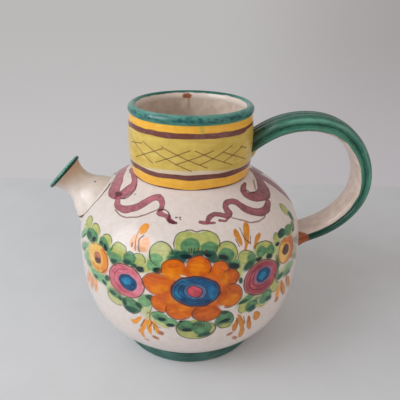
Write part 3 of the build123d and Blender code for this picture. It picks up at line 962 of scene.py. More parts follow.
# Ribbons, drawn with the shoulder spread flat round the neck's seam: x and y in
# millimetres from the jug's axis and half width
LEFT_RIBBON = [
    (-49.2, -33.8, 2.6), (-49.7, -38.5, 2.3), (-48.4, -43.1, 2.4), (-44.9, -46.9, 2.7),
    (-39.5, -49.2, 3.0), (-33.4, -49.2, 3.2), (-28.0, -47.1, 3.1), (-23.4, -45.0, 2.8),
    (-19.9, -45.0, 2.4), (-17.6, -47.3, 2.0), (-16.8, -50.8, 1.7), (-17.6, -54.6, 1.6),
    (-18.4, -57.3, 1.9), (-16.5, -58.8, 1.7), (-13.4, -60.4, 1.6), (-11.5, -63.1, 1.7),
    (-9.2, -65.0, 1.3),
]
LEFT_LOOP = [
    (-52.6, 0.0, 4.5), (-53.0, -7.7, 4.9), (-53.3, -15.4, 5.5), (-54.0, -22.3, 5.5),
    (-53.0, -28.5, 4.4), (-49.9, -33.0, 3.0),
]
LEFT_LOBE = [
    (-49.0, -33.6, 3.2), (-44.9, -32.7, 5.2), (-40.6, -30.8, 5.0), (-37.6, -27.0, 2.8),
    (-38.0, -21.5, 2.1), (-39.5, -15.4, 1.7), (-41.8, -9.2, 1.4), (-43.4, -3.0, 1.5),
]
LEFT_KNOT = [(-51.2, -28.6, 1.0), (-49.2, -31.8, 2.2), (-46.6, -33.4, 1.0)]
LEFT_EDGE = [
    (-46.8, -37.2, 0.5), (-43.4, -38.6, 0.6), (-39.4, -37.0, 0.5), (-36.6, -33.0, 0.4),
    (-35.8, -28.6, 0.3),
]
LEFT_TAIL_LOOP = [(-18.6, -55.4, 1.0), (-15.4, -55.2, 0.45), (-12.8, -57.2, 0.4), (-11.8, -60.4, 0.9)]
LEFT_TAIL = [(-12.0, -62.0, 1.0), (-11.0, -64.2, 1.3), (-7.4, -65.2, 1.0)]
RIGHT_RIBBON = [
    (55.6, -31.8, 2.2), (55.3, -36.9, 2.5), (53.1, -42.3, 2.8), (48.5, -46.2, 3.1), (42.3, -48.1, 3.0),
    (36.2, -47.3, 2.8), (31.2, -45.0, 2.4), (26.9, -45.4, 2.1), (24.5, -48.1, 2.0), (24.5, -51.5, 2.2),
    (26.5, -55.0, 2.4), (25.0, -57.3, 2.0), (20.4, -57.1, 1.6), (16.5, -57.7, 1.7), (14.2, -60.0, 1.8),
    (12.7, -63.5, 1.4),
]
RIGHT_FOOT = [(7.7, -64.5, 1.0), (12.5, -64.4, 1.2), (17.3, -63.8, 0.7)]
RIGHT_DROP = [(26.0, -58.4, 0.9), (24.4, -61.0, 0.9), (20.8, -61.6, 1.1)]
RIGHT_LOOP = [
    (49.2, -4.6, 3.8), (51.0, -10.0, 4.2), (52.8, -16.2, 5.2), (53.3, -22.3, 5.3), (51.4, -27.7, 5.0),
    (46.8, -32.6, 4.2), (42.4, -35.6, 3.4), (38.6, -35.6, 2.9), (36.4, -31.6, 2.4), (36.7, -27.2, 1.7),
    (38.0, -23.8, 0.9),
]
RIGHT_CREASE = [(39.2, -30.6, 0.5), (41.6, -31.8, 0.6), (45.2, -30.2, 0.5)]
RIGHT_STAIN = [(45.4, -14.0, 0.5), (45.5, -20.0, 1.0), (45.8, -25.6, 0.8)]
RIGHT_FALL = [(46.5, -1.0, 4.0), (62.0, -2.0, 4.6), (78.0, -2.6, 4.2), (88.0, -1.5, 2.5)]
LEFT_THREAD = [
    (-50.7, -45.4, 0.5), (-47.2, -50.8, 0.5), (-41.1, -55.4, 0.5), (-34.2, -57.3, 0.5),
    (-27.2, -56.8, 0.5), (-21.8, -55.4, 0.5), (-19.2, -54.2, 0.5),
]
RIGHT_THREAD = [
    (28.8, -57.7, 0.5), (34.6, -57.8, 0.5), (40.8, -57.1, 0.5), (46.2, -55.0, 0.5), (50.0, -51.5, 0.5),
    (52.7, -47.7, 0.5), (53.8, -44.6, 0.5),
]
LEFT_SPECKS = [(-7.8, -61.2, 0.6), (-5.4, -61.4, 0.6), (-4.9, -62.7, 0.4), (-36.8, -38.0, 0.45)]

# Ribbons and threads in their painting order: points, colour, pool of the edge, softness
BRUSH_RUNS = [
    (LEFT_THREAD, "ink_soft", 0.0, 0.45),
    (RIGHT_THREAD, "ink_soft", 0.0, 0.45),
    (RIGHT_STAIN, "drip", 0.0, 0.5),
    (RIGHT_FALL, "ribbon_deep", 0.5, 0.12),
    (LEFT_LOOP, "ribbon", 0.55, 0.08),
    (LEFT_LOBE, "ribbon", 0.9, 0.08),
    (LEFT_RIBBON, "ribbon", 0.8, 0.1),
    (LEFT_KNOT, "ribbon_knot", 0.0, 0.5),
    (LEFT_EDGE, "ribbon_knot", 0.0, 0.4),
    (LEFT_TAIL_LOOP, "ribbon_knot", 0.0, 0.4),
    (LEFT_TAIL, "ribbon_knot", 0.3, 0.3),
    (RIGHT_LOOP, "ribbon_deep", 0.9, 0.08),
    (RIGHT_RIBBON, "ribbon_deep", 0.8, 0.1),
    (RIGHT_CREASE, "ribbon_knot", 0.0, 0.5),
    (RIGHT_FOOT, "ribbon_deep", 0.2, 0.3),
    (RIGHT_DROP, "ribbon_deep", 0.8, 0.2),
]


def side_spot(degrees, height):
    """A place of the side plane: way round and way up along the outline, in millimetres."""
    return radians(degrees) * belly_radius, along_belly(height)


def plan_to_side(x, y, half):
    """A place of the plan plane on the side plane, with its half width there."""
    radius = hypot(x, y)
    stretch = max(1, belly_radius / radius)
    return (atan2(-y, x) * belly_radius, belly_girth + neck_seam_radius - radius, half * stretch)


def smooth_line(points, parts=2):
    """More points on a smooth curve through the given ones."""
    p = np.array(points, float)
    padded = np.concatenate([[2 * p[0] - p[1]], p, [2 * p[-1] - p[-2]]])
    found = []
    for a, b, c, d in zip(padded, padded[1:], padded[2:], padded[3:]):
        for t in np.arange(parts) / parts:
            squared = (2 * a - 5 * b + 4 * c - d) * t ** 2
            cubed = (3 * b - a - 3 * c + d) * t ** 3
            found.append(0.5 * (2 * b + (c - a) * t + squared + cubed))
    return [tuple(f) for f in found] + [tuple(p[-1])]


class Cell:
    """A patch of the belly with its own material, which holds only the strokes that reach it."""

    margin = 3.2

    def __init__(self, left, right, low, high):
        self.left, self.right, self.low, self.high = left, right, low, high

    def reached(self, x, y, wide, high):
        near_x = self.left - self.margin < x + wide and x - wide < self.right + self.margin
        near_y = self.low - self.margin < y + high and y - high < self.high + self.margin
        return near_x and near_y


class Painter(Nodes):
    """Lays strokes over the ground, one after another, within a cell of the belly."""

    def __init__(self, tree, plane, cell=None):
        super().__init__(tree)
        self.cell = cell
        light, dark = COLOURS["ground"]
        self.layer = {"Light": srgb(*light), "Dark": srgb(*dark), "Grain": plane, "Place": plane}
        self.strokes = 0

    def keep(self, outputs):
        self.layer = {name: outputs[name] for name in self.layer}
        self.strokes += 1

    def lay(self, reach, colour, way, grain=None):
        """Lays a stroke, if it reaches the cell."""
        if not reach:
            return
        light, dark = COLOURS[colour]
        soft, cover, pool = way
        facts = {
            "Reach": reach,
            "Soft": soft,
            "Cover": cover,
            "Pool": pool,
            "Stroke Light": srgb(*light),
            "Stroke Dark": srgb(*dark),
            "Stroke Grain": grain or self.layer["Place"],
        }
        self.keep(self.group(lay_group, **self.layer, **facts))

    def shape(self, degrees, height, wide, high, turn=0, bend=0, taper=0):
        """An oval on the side plane, or None where it doesn't reach the cell."""
        x, y = side_spot(degrees, height)
        c, s = cos(radians(turn)), sin(radians(turn))
        grown = 1.3 + abs(taper)
        reach_x = grown * hypot(wide * c, high * s) + abs(bend) * high
        reach_y = grown * hypot(wide * s, high * c) + abs(bend) * high
        if self.cell and not self.cell.reached(x, y, reach_x, reach_y):
            return None
        return self.group(
            shape_group,
            Place=self.layer["Place"],
            Middle=(x, y, 0),
            Across=(-c / wide, s / wide, 0),
            Up=(s / high, c / high, 0),
            Bend=bend,
            Taper=taper,
        )

    def oval(self, colour, way, sizes):
        made = self.shape(*sizes)
        if made:
            self.lay(made["Reach"], colour, way, made["Local"])

    def outline(self, ink, degrees, height, wide, high, turn, middle, half, width):
        made = self.shape(degrees, height, wide - outline_inset, high - outline_inset, turn)
        if not made:
            return
        facts = {
            "Reach": made["Reach"],
            "Local": made["Local"],
            "Width": width / 2 / min(wide, high),
            "Towards": (cos(radians(middle)), sin(radians(middle)), 0),
            "Limit": cos(radians(half)) if half < 180 else -2.0,
            "Cover": outline_cover,
            "Ink": srgb(*COLOURS[ink][0]),
        }
        self.keep(self.group(rim_group, **self.layer, **facts))

    def run(self, points, to_side=None):
        """Distance from a line through points with half widths, as a share of the half width.

        Only the parts that reach the cell count, and None means that none does."""
        nearest = None
        place = self.layer["Place"]
        for start, end in zip(points, points[1:]):
            (x1, y1, h1), (x2, y2, h2) = [to_side(*p) if to_side else p for p in (start, end)]
            half = 1.5 * max(h1, h2)
            wide, tall = abs(x1 - x2) / 2 + half, abs(y1 - y2) / 2 + half
            if self.cell and not self.cell.reached((x1 + x2) / 2, (y1 + y2) / 2, wide, tall):
                continue
            step = (end[0] - start[0], end[1] - start[1], 0)
            square = step[0] ** 2 + step[1] ** 2
            facts = {
                "Place": place,
                "Start": (*start[:2], 0),
                "Step": step,
                "Pull": (step[0] / square, step[1] / square, 0),
                "Half": start[2],
                "Gain": end[2] - start[2],
            }
            reach = self.group(run_group, **facts)["Reach"]
            nearest = reach if nearest is None else self.math("MINIMUM", nearest, reach)
        return nearest


def make_planes_group():
    """Place on the jug, on the belly's side plane and on its plan plane, with a hand's wobble."""
    outputs = {"Place": (0, 0, 0), "Side": (0, 0, 0), "Plan": (0, 0, 0)}
    tree, n, _, out = new_group("belly_planes", {}, outputs)
    place = n.place()
    x, y, z = n.split(place)
    front = n.absolute(y)
    around = n.times(n.math("ARCTAN2", front, x), belly_radius)
    curve = n.add("FloatCurve")
    heights = np.linspace(foot_height, seam_height, 17)
    points = curve.mapping.curves[0].points
    for share, height in zip(np.linspace(0, 1, len(heights)), heights):
        value = along_belly(height) / belly_girth
        if share in (0, 1):
            points[-1 if share else 0].location = (share, value)
        else:
            points.new(share, value)
    curve.mapping.update()
    share = n.divided(n.minus(z, foot_height), seam_height - foot_height)
    n.feed(curve.inputs["Value"], share)
    up = n.times(curve.outputs[0], belly_girth)
    radius = n.minus(neck_seam_radius + belly_girth, up)
    flat = n.vector("NORMALIZE", n.combine(x, n.times(front, -1.0)))
    hand = n.noise(place, 7.0, detail=2.0, seed=5.0, output="Color")
    shake = n.vector("SCALE", n.vector("SUBTRACT", hand, (0.5, 0.5, 0.5)), scale=2.2)
    side = n.vector("ADD", n.combine(around, up), shake)
    plan = n.vector("ADD", n.vector("SCALE", flat, scale=radius), shake)
    n.feed(out["Place"], place)
    n.feed(out["Side"], n.vector("MULTIPLY", side, (1, 1, 0)))
    n.feed(out["Plan"], n.vector("MULTIPLY", plan, (1, 1, 0)))
    return tree


def make_finish_group():
    """The layers' colour, streaked along each stroke and clouded a little."""
    tree, n, given, out = new_group("paint_finish", LAYER, {"Colour": (0, 0, 0, 1)})
    streak = n.noise(given["Grain"], 0.45, detail=3.0, stretch=(0.35, 1, 1), seed=2.0)
    cloud = n.noise(given["Place"], 4.0, detail=3.0, seed=8.0)
    share = n.plus(n.spread(streak, -0.1, 0.65), n.spread(cloud, -0.3, 0.45), clamp=True)
    n.feed(out["Colour"], n.mix(share, given["Light"], given["Dark"]))
    return tree


planes_group = make_planes_group()
finish_group = make_finish_group()


def side_line(paint, spots):
    """Distance from a line through degrees and heights with half widths, on the side plane."""
    points = [(*side_spot(degrees, height), half) for degrees, height, half in spots]
    return paint.run(smooth_line(points))


def paint_shoulder(paint, plan, side):
    """Ribbons, threads and the line round the spout's root."""
    paint.layer["Place"] = plan
    for points, colour, pool, soft in BRUSH_RUNS:
        paint.lay(paint.run(smooth_line(points), plan_to_side), colour, (soft, ribbon_cover, pool))
    for x, y, half in LEFT_SPECKS:
        paint.lay(paint.run([(x, y, half), (x + half, y, half)], plan_to_side), INK, INK_WAY)
    paint.layer["Place"] = side
    for spots, colour, cover in SPOUT_RUNS:
        paint.lay(side_line(paint, spots), colour, (0.3, cover, 0.0))


def paint_garland(paint):
    """Sprigs, leaves, flowers and their ink lines."""
    for colour, way, ovals in GARLAND:
        for sizes in ovals:
            paint.oval(colour, way, sizes)
    for ink, lines in OUTLINES:
        for line in lines:
            paint.outline(ink, *line)
    for spots, half in TICKS:
        paint.lay(paint.run([(*side_spot(*spot), half) for spot in spots]), INK, INK_WAY)


def belly_material(name, cell):
    """Paint of one cell of the belly, and how many strokes it holds."""
    nodes = new_material(name)
    planes = nodes.group(planes_group)
    paint = Painter(nodes.tree, planes["Side"], cell)
    paint_shoulder(paint, planes["Plan"], planes["Side"])
    paint_garland(paint)
    facts = {key: paint.layer[key] for key in ("Light", "Dark", "Grain")}
    colour = nodes.group(finish_group, Place=planes["Place"], **facts)["Colour"]
    return glaze(nodes, colour), paint.strokes


def inside_material():
    """White glaze of the belly's inside, clouded a little."""
    nodes = new_material("white_inside")
    cloud = nodes.noise(nodes.place(), 6.0, detail=4.0, seed=6.0)
    return glaze(nodes, nodes.clouded(cloud, (222, 208, 196), (204, 186, 170)), roughness=0.2)


# Dark specks in the spout's glaze: place and size in millimetres
SPOUT_SPECKS = [(-68.9, -6.3, 124.8, 1.1), (-72.0, -18.5, 103.0, 0.6)]

# Chip inside the rim and the drip below it: place sideways, height, half width, half height
RIM_CHIP = (-4.2, 178.8, 3.8, 2.0)
RIM_DRIP = (-2.8, 174.6, 1.3, 5.5)

# Crosshatch lines: start and end, in degrees and height
HATCH = [
    (154, 164.6, 122, 151.2), (132, 163.5, 88, 148.5), (113, 163.3, 75, 150.5), (85, 161.8, 51, 149.7),
    (61, 159.5, 33, 150.6), (42, 160.6, 33, 157.8), (153, 159.6, 134, 162.2), (144, 151.1, 112, 162.1),
    (119, 152.3, 89, 162.0), (101, 152.7, 70, 161.5), (81, 152.8, 52, 162.9), (60, 153.3, 39, 160.7),
]

# Glazes of the neck: light and dark
NECK_COLOURS = {
    "yellow": ((246, 190, 74), (230, 162, 48)),
    "olive": ((218, 190, 98), (194, 160, 66)),
    "gap": ((224, 206, 184), (208, 184, 148)),
    "brown": ((124, 74, 66), (88, 46, 42)),
    "mauve": ((150, 110, 108), (112, 72, 68)),
}

# Painted bands of the neck: lowest and highest height, and softness of the edges
NECK_BANDS = {
    "gap": (145.0, 169.6, 0.3),
    "olive": (140.0, 169.6, 0.5),
    "lower_line": (142.2, 145.8, 0.25),
    "upper_line": (160.0, 172.1, 0.3),
    "seam_line": (134.0, 135.6, 0.25),
}

# The olive glaze begins higher round the front, and the upper line higher near the handle:
# height, rise, and the millimetres round the neck over which it rises
olive_middle = radians(92) * neck_middle_radius
olive_low, olive_rise, olive_fade = 146.0, 2.6, (38.0, 11.0)
line_low, line_rise, line_fade = 168.7, 1.4, (29.0, 22.0)
hatch_half = 0.36

# Drip of the rim's green over the neck's front: degrees, height, half width
NECK_DRIP = [(79, 173.2, 1.5), (80, 176.6, 1.0)]


def neck_material():
    """Yellow glaze with painted bands, a crosshatch and a green drip from the rim."""
    nodes = new_material("painted_neck")
    place = nodes.place()
    x, y, z = nodes.split(place)
    around = nodes.times(nodes.math("ARCTAN2", nodes.absolute(y), x), neck_middle_radius)
    hand = nodes.noise(place, 14.0, detail=1.0, seed=4.0)
    wave = nodes.times(nodes.minus(hand, 0.5), 2.0)
    level = nodes.plus(z, wave)
    cloud = nodes.noise(place, 5.0, detail=4.0, seed=9.0)
    streak = nodes.noise(place, 2.5, detail=3.0, stretch=(0.16, 0.16, 1.4), seed=7.0)
    share = nodes.plus(nodes.spread(cloud, 0.0, 0.5), nodes.spread(streak, -0.1, 0.4), clamp=True)

    def paint_of(name):
        return nodes.mix(share, *NECK_COLOURS[name])

    def band(name):
        return nodes.band(level, *NECK_BANDS[name])

    def at(degrees, height, half):
        return (radians(degrees) * neck_middle_radius, height, half)

    colour = paint_of("yellow")
    colour = nodes.mix(band("gap"), colour, paint_of("gap"))
    from_front = nodes.absolute(nodes.minus(around, olive_middle))
    olive_start = nodes.scaled(nodes.step(from_front, *olive_fade), olive_rise, olive_low)
    over = nodes.step(nodes.minus(level, olive_start), -0.9, 0.9)
    colour = nodes.mix(nodes.times(over, band("olive")), colour, paint_of("olive"))
    colour = nodes.mix(band("lower_line"), colour, paint_of("brown"))
    brown = nodes.mix(nodes.step(cloud, 0.48, 0.72), paint_of("brown"), paint_of("mauve"))
    line_start = nodes.scaled(nodes.step(around, *line_fade), line_rise, line_low)
    over = nodes.step(nodes.minus(level, line_start), -0.3, 0.3)
    colour = nodes.mix(nodes.times(over, band("upper_line")), colour, brown)
    colour = nodes.mix(band("seam_line"), colour, paint_of("brown"))
    lines = Painter(nodes.tree, nodes.combine(around, nodes.scaled(wave, 0.5, z)))
    for start, low, end, high in HATCH:
        reach = lines.run([at(start, low, hatch_half), at(end, high, hatch_half)])
        colour = nodes.laid(nodes.step(reach, 1.6, 0.4), 0.7, colour, COLOURS[INK][0])
    reach = lines.run([at(*spot) for spot in NECK_DRIP])
    colour = nodes.laid(nodes.step(reach, 1.4, 0.5), 0.6, colour, (160, 172, 84))
    return glaze(nodes, colour)


# Bands of the strap, counted outwards from its middle line: from, to and softness
# The two ridges are laid lighter: the glaze runs thin there, and a painted highlight lies on them
upper_ridge_highlight = (2.0, 4.4, 0.6)
lower_ridge_highlight = (-4.0, -2.0, 0.6)
side_groove = (-1.0, 1.2, 0.6)
worn_band = (3.0, 8.0, 1.0)

# The sides begin this far across the strap, and its outer face ends there
side_fade = (7.8, 9.0)
outer_face_fade = (9.4, 8.6)

# Worn glaze near the strap's ends, and the dark glaze at its root, both counted from the end
worn_middle, worn_fade = 15.0, (5.0, 1.0)
root_fade = (15.0, 1.0)

# Edge of the white inner face at two shares of the handle's length
white_edge_shares = (0.18, 0.8)
white_edges = (-4.7, -2.3)

# Bare clay at the lower end: its reach along the handle, its middle and its half height outwards
clay_reach, clay_middle, clay_half = 9.6, 2.2, 7.4


def strap_material():
    """Green glaze streaked along the ribs, a white inner face and bare clay at the lower end."""
    nodes = new_material("handle_glaze")
    along, across, _ = nodes.split(nodes.add("UVMap", uv_map="Along").outputs[0])
    out, near, _ = nodes.split(nodes.add("UVMap", uv_map="Depth").outputs[0])
    place = nodes.place()

    def streaks(stretch, size, seed):
        run = nodes.combine(nodes.times(along, stretch), across, out)
        return nodes.noise(run, size, detail=3.0, seed=seed)

    def passed(*shares):
        """0 at the first of two shares of the handle's length and 1 at the second."""
        return nodes.step(along, *[handle_length * share for share in shares])

    wear_and_highlight = streaks(0.35, 4.0, 12.0)
    speck = nodes.noise(place, 1.3, detail=2.0, seed=14.0)
    wander = nodes.noise(place, 7.0, seed=21.0)
    hand = nodes.times(nodes.minus(wander, 0.5), 5.0)
    fine = nodes.spread(streaks(0.14, 2.4, 1.0), 0.1, 0.6)
    share = nodes.plus(fine, nodes.spread(wear_and_highlight, -0.2, 0.4), clamp=True)
    green = nodes.mix(share, (72, 134, 112), (20, 70, 58))
    crest = strap_thickness / 2
    sides = nodes.step(nodes.absolute(across), *side_fade)
    upper_half = passed(0.62, 0.5)
    # Lighter ridges along the sides: thinner glaze there, and a painted highlight
    ridge = nodes.times(nodes.band(out, *upper_ridge_highlight), sides)
    green = nodes.laid(nodes.times(ridge, nodes.spread(wear_and_highlight, 0.9, 0.3)), 0.6, green, (126, 184, 162))
    ridge = nodes.times(nodes.band(out, *lower_ridge_highlight), sides)
    green = nodes.laid(nodes.times(ridge, nodes.spread(wear_and_highlight, 0.3, 0.9)), 0.4, green, (112, 176, 146))
    groove = nodes.times(nodes.band(out, *side_groove), nodes.times(sides, upper_half))
    green = nodes.laid(nodes.times(groove, nodes.step(speck, 0.48, 0.64)), 0.4, green, (20, 60, 54))
    # Painted shade: the strap turns dark towards its lower end
    shaded_low_end = passed(0.5, 0.85)
    green = nodes.laid(shaded_low_end, 0.75, green, (16, 58, 48))
    from_wear = nodes.absolute(nodes.minus(near, worn_middle))
    wear = nodes.times(nodes.step(from_wear, *worn_fade), nodes.band(out, *worn_band))
    green = nodes.laid(nodes.times(wear, upper_half), 0.5, green, (150, 164, 154))
    # Painted dim reflection: the outer face is laid in a darker, duller green than the sides
    mottle = nodes.noise(place, 6.0, detail=4.0, seed=16.0)
    dim_outer_face = nodes.clouded(mottle, (54, 114, 94), (25, 72, 62))
    dim_top_face = nodes.times(nodes.step(out, crest - 2.2, crest - 1.2), nodes.step(across, *outer_face_fade))
    green = nodes.laid(dim_top_face, 0.85, green, dim_outer_face)
    green = nodes.laid(nodes.step(speck, 0.62, 0.7), 0.55, green, (18, 44, 42))
    upper = passed(0.5, 0.4)
    root = nodes.times(nodes.step(nodes.plus(near, hand), *root_fade), upper)
    green = nodes.laid(root, 0.8, green, (40, 54, 36))
    cloud = nodes.noise(place, 6.0, detail=3.0, seed=6.0)
    white = nodes.clouded(cloud, (222, 204, 194), (202, 180, 166))
    limits = (along, *[handle_length * share for share in white_edge_shares], *white_edges)
    limit = nodes.add("MapRange", dict(enumerate(limits))).outputs[0]
    depth = nodes.minus(nodes.scaled(hand, 0.25, out), limit)
    inner = nodes.step(depth, 0.25, -0.25)
    colour = nodes.mix(inner, green, white)
    clay = nodes.clouded(speck, (176, 102, 66), (138, 76, 48))
    deep = nodes.divided(nodes.minus(out, clay_middle), clay_half)
    patch = nodes.combine(nodes.divided(near, clay_reach), deep)
    reach = nodes.scaled(hand, 0.05, nodes.vector("LENGTH", patch))
    bare = nodes.times(nodes.step(reach, 1.04, 0.98), nodes.minus(1.0, upper))
    colour = nodes.mix(bare, colour, clay)
    return glaze(nodes, colour, roughness=nodes.scaled(bare, 0.5, 0.17))


# Heights over which the wad turns dark with painted shade under the strap
wad_painted_shade_heights = (153.5, 157.5)


def wad_material():
    """The neck's olive yellow, turning dark green with painted shade up towards the strap."""
    nodes = new_material("wad_glaze")
    place = nodes.place()
    _, _, z = nodes.split(place)
    cloud = nodes.noise(place, 3.0, detail=3.0, seed=6.0)
    colour = nodes.clouded(cloud, (208, 186, 120), (172, 142, 78))
    # Painted shade: dark green up towards the strap above the wad
    painted_shade = nodes.step(nodes.scaled(cloud, 4.0, z), *wad_painted_shade_heights)
    return glaze(nodes, nodes.mix(painted_shade, colour, (64, 80, 52)))


# Thin glaze under the spout's lip: depths behind the lip's face and places across the spout
thin_depths = (20.0, 5.0)
thin_sides = (-13.0, 4.0)

# The line round the root is drawn up to this far from the belly
root_line_reach = (8.0, 6.0)


def from_lip(nodes, place, way):
    """How far a place is from the middle of the lip's face, along a way."""
    away = nodes.vector("SUBTRACT", place, tuple(spout_middle))
    return nodes.vector("DOT_PRODUCT", away, tuple(way))


def spout_material():
    """White glaze with the dark line painted round the root and a few specks."""
    nodes = new_material("spout_glaze")
    place = nodes.place()
    root, _, _ = nodes.split(nodes.add("UVMap", uv_map="Root").outputs[0])
    cloud = nodes.noise(place, 7.0, detail=3.0, seed=6.0)
    colour = nodes.clouded(cloud, (232, 219, 210), (218, 202, 190))
    hand = nodes.noise(place, 5.0, detail=3.0, seed=31.0)
    depth = from_lip(nodes, place, -spout_out)
    side = from_lip(nodes, place, spout_across)
    thin = nodes.step(nodes.scaled(hand, 7.0, depth), *thin_depths)
    thin = nodes.times(thin, nodes.step(side, *thin_sides))
    colour = nodes.laid(thin, 0.7, colour, (190, 150, 114))
    lines = Painter(nodes.tree, nodes.group(planes_group)["Side"])
    near = nodes.step(root, *root_line_reach)
    for spots, paint, cover in SPOUT_RUNS:
        line = nodes.times(nodes.step(side_line(lines, spots), 1.3, 0.8), near)
        colour = nodes.laid(line, cover, colour, COLOURS[paint][0])
    for x, y, z, size in SPOUT_SPECKS:
        away = nodes.vector("DISTANCE", place, (x, y, z))
        speck = nodes.times(nodes.step(away, size, size * 0.4), 0.8)
        colour = nodes.mix(speck, colour, (92, 70, 62))
    return glaze(nodes, colour)


def lip_material():
    """Dark green glaze, thin and light in streaks, with a painted lit face and painted shade on the lip's
    back.
    """
    nodes = new_material("lip_glaze")
    place = nodes.place()
    streak = nodes.noise(place, 1.6, detail=4.0, roughness=0.6, seed=1.0)
    depth = from_lip(nodes, place, -spout_out)
    light = nodes.clouded(streak, (110, 180, 156), (30, 96, 82))
    dark = nodes.clouded(streak, (34, 84, 72), (16, 40, 38))
    # Painted light and shade: light teal on the lip's face, dark green on its back edge
    edge = nodes.scaled(streak, 1.2, depth)
    colour = nodes.mix(nodes.step(edge, 1.3, 2.0), light, dark)
    return glaze(nodes, colour, roughness=0.15)


def foot_material():
    """Dark green glaze, brushed round the foot and darker at its upper edge."""
    nodes = new_material("foot_glaze")
    place = nodes.place()
    _, _, z = nodes.split(place)
    streak = nodes.noise(place, 2.2, detail=4.0, stretch=(0.15, 0.15, 1.0), seed=1.0)
    colour = nodes.clouded(streak, (72, 112, 102), (36, 74, 68))
    edge = nodes.times(nodes.step(z, foot_height - 1.6, foot_height - 0.4), 0.6)
    colour = nodes.mix(edge, colour, (26, 56, 52))
    return glaze(nodes, colour)


def with_chip(nodes, place, colour):
    """Bare clay chipped out of the glaze inside the rim at the back, and a faint drip below it."""
    x, y, z = nodes.split(place)
    ragged = nodes.noise(place, 1.4, detail=2.0, seed=14.0)
    at_back = nodes.step(y, 10.0, 20.0)
    clay = nodes.clouded(ragged, (172, 108, 78), (128, 66, 42))
    for spot, paint, cover in ((RIM_DRIP, (172, 138, 108), 0.5), (RIM_CHIP, clay, 1.0)):
        middle, height, wide, high = spot
        aside = nodes.divided(nodes.minus(x, middle), wide)
        up = nodes.divided(nodes.minus(z, height), high)
        reach = nodes.scaled(ragged, 0.9, nodes.vector("LENGTH", nodes.combine(aside, up)))
        inside = nodes.times(nodes.step(reach, 1.65, 1.1), at_back)
        colour = nodes.laid(inside, cover, colour, paint)
    return colour


def neck_inside_material():
    """Cream glaze with the drip below the rim's chip."""
    nodes = new_material("white_neck_inside")
    place = nodes.place()
    cloud = nodes.noise(place, 6.0, detail=4.0, seed=6.0)
    colour = nodes.clouded(cloud, (221, 203, 188), (200, 178, 160))
    return glaze(nodes, with_chip(nodes, place, colour), roughness=0.2)


# Dark belt of the rim: height over the neck's top, and its half width's soft edge
rim_belt_height = 4.4
rim_belt_fade = (2.2, 0.6)


def rim_material():
    """Green glaze over the outside and the crest, cream inside."""
    nodes = new_material("rim_glaze")
    place = nodes.place()
    x, y, z = nodes.split(place)
    radius = nodes.vector("LENGTH", nodes.combine(x, y))
    streak = nodes.noise(place, 1.5, detail=4.0, roughness=0.6, stretch=(0.12, 0.12, 1.0), seed=1.0)
    speck = nodes.noise(place, 1.5, detail=2.0, stretch=(0.5, 0.5, 1.0), seed=14.0)
    hand = nodes.noise(place, 6.0, detail=2.0, seed=23.0)
    green = nodes.mix(nodes.spread(streak, 0.0, 0.9), (80, 146, 130), (24, 84, 82))
    # Lighter green along the front of the crest: glaze worn thin there, and a painted highlight
    wear_and_highlight = nodes.times(nodes.step(z, rim_top - 2.2, rim_top - 0.2), nodes.spread(hand, 0.1, 0.8))
    wear_and_highlight = nodes.times(wear_and_highlight, nodes.step(y, 24.0, 6.0))
    green = nodes.laid(nodes.step(y, 10.0, 30.0), 0.6, green, (22, 78, 68))
    green = nodes.laid(wear_and_highlight, 0.7, green, (134, 182, 168))
    level = nodes.scaled(hand, 2.0, nodes.minus(z, neck_top + rim_belt_height))
    belt = nodes.step(nodes.absolute(level), *rim_belt_fade)
    dark = nodes.times(belt, nodes.step(speck, 0.48, 0.6))
    green = nodes.laid(dark, 0.75, green, (20, 68, 84))
    foot = nodes.times(nodes.step(z, neck_top + 1.5, neck_top + 0.4), nodes.spread(hand, 0.9, 0.3))
    green = nodes.laid(foot, 0.6, green, (92, 164, 134))
    crest = neck_top_radius - neck_wall / 2
    over = nodes.step(nodes.scaled(hand, 1.2, radius), crest + 0.2, crest - 0.6)
    below = nodes.step(nodes.scaled(hand, 1.4, z), rim_top - 0.3, rim_top - 1.1)
    cream = (222, 206, 194)
    colour = nodes.mix(nodes.times(over, below), green, cream)
    chipped = with_chip(nodes, place, colour)
    colour = nodes.mix(nodes.step(radius, crest + 1.6, crest + 0.8), colour, chipped)
    return glaze(nodes, colour, roughness=0.18)


# Pieces


def build_belly():
    wall_top = straight((neck_seam_radius, seam_height), (neck_seam_radius - neck_wall, seam_height), 2)
    inside = joined(bezier(inner_upper[::-1], 28), bezier(inner_lower[::-1], 28))
    seat = straight(inner_lower[0], belly_lower[0], 2)
    outline = joined(belly_outline, wall_top, inside, seat)[:-1]
    white = inside_material()
    belly = turned_piece("belly", outline, belly_columns, white)
    rows = len(belly_outline) - 1
    middles = [(belly_lengths[i] + belly_lengths[i + 1]) / 2 for i in range(rows)]
    index = np.zeros(len(belly.data.polygons), np.int32)
    plain = None
    for left, right in zip(CELL_DEGREES, CELL_DEGREES[1:]):
        for low, high in zip(CELL_HEIGHTS, CELL_HEIGHTS[1:]):
            low, high = along_belly(low), along_belly(high)
            cell = Cell(radians(left) * belly_radius, radians(right) * belly_radius, low, high)
            material, strokes = belly_material(f"belly_paint_{left:.0f}_{low:.0f}", cell)
            if strokes == 0 and plain is not None:
                bpy.data.materials.remove(material)
                place_of = plain
            else:
                belly.data.materials.append(material)
                place_of = len(belly.data.materials) - 1
                plain = place_of if strokes == 0 else plain
            for i, middle in enumerate(middles):
                if not low <= middle < high:
                    continue
                for k in range(belly_columns):
                    turn = (k + 0.5) * 360 / belly_columns
                    if left <= min(turn, 360 - turn) < right:
                        index[i * belly_columns + k] = place_of
    belly.data.polygons.foreach_set("material_index", index)
    cut_spout_hole(belly, white)
    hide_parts("belly_shell")


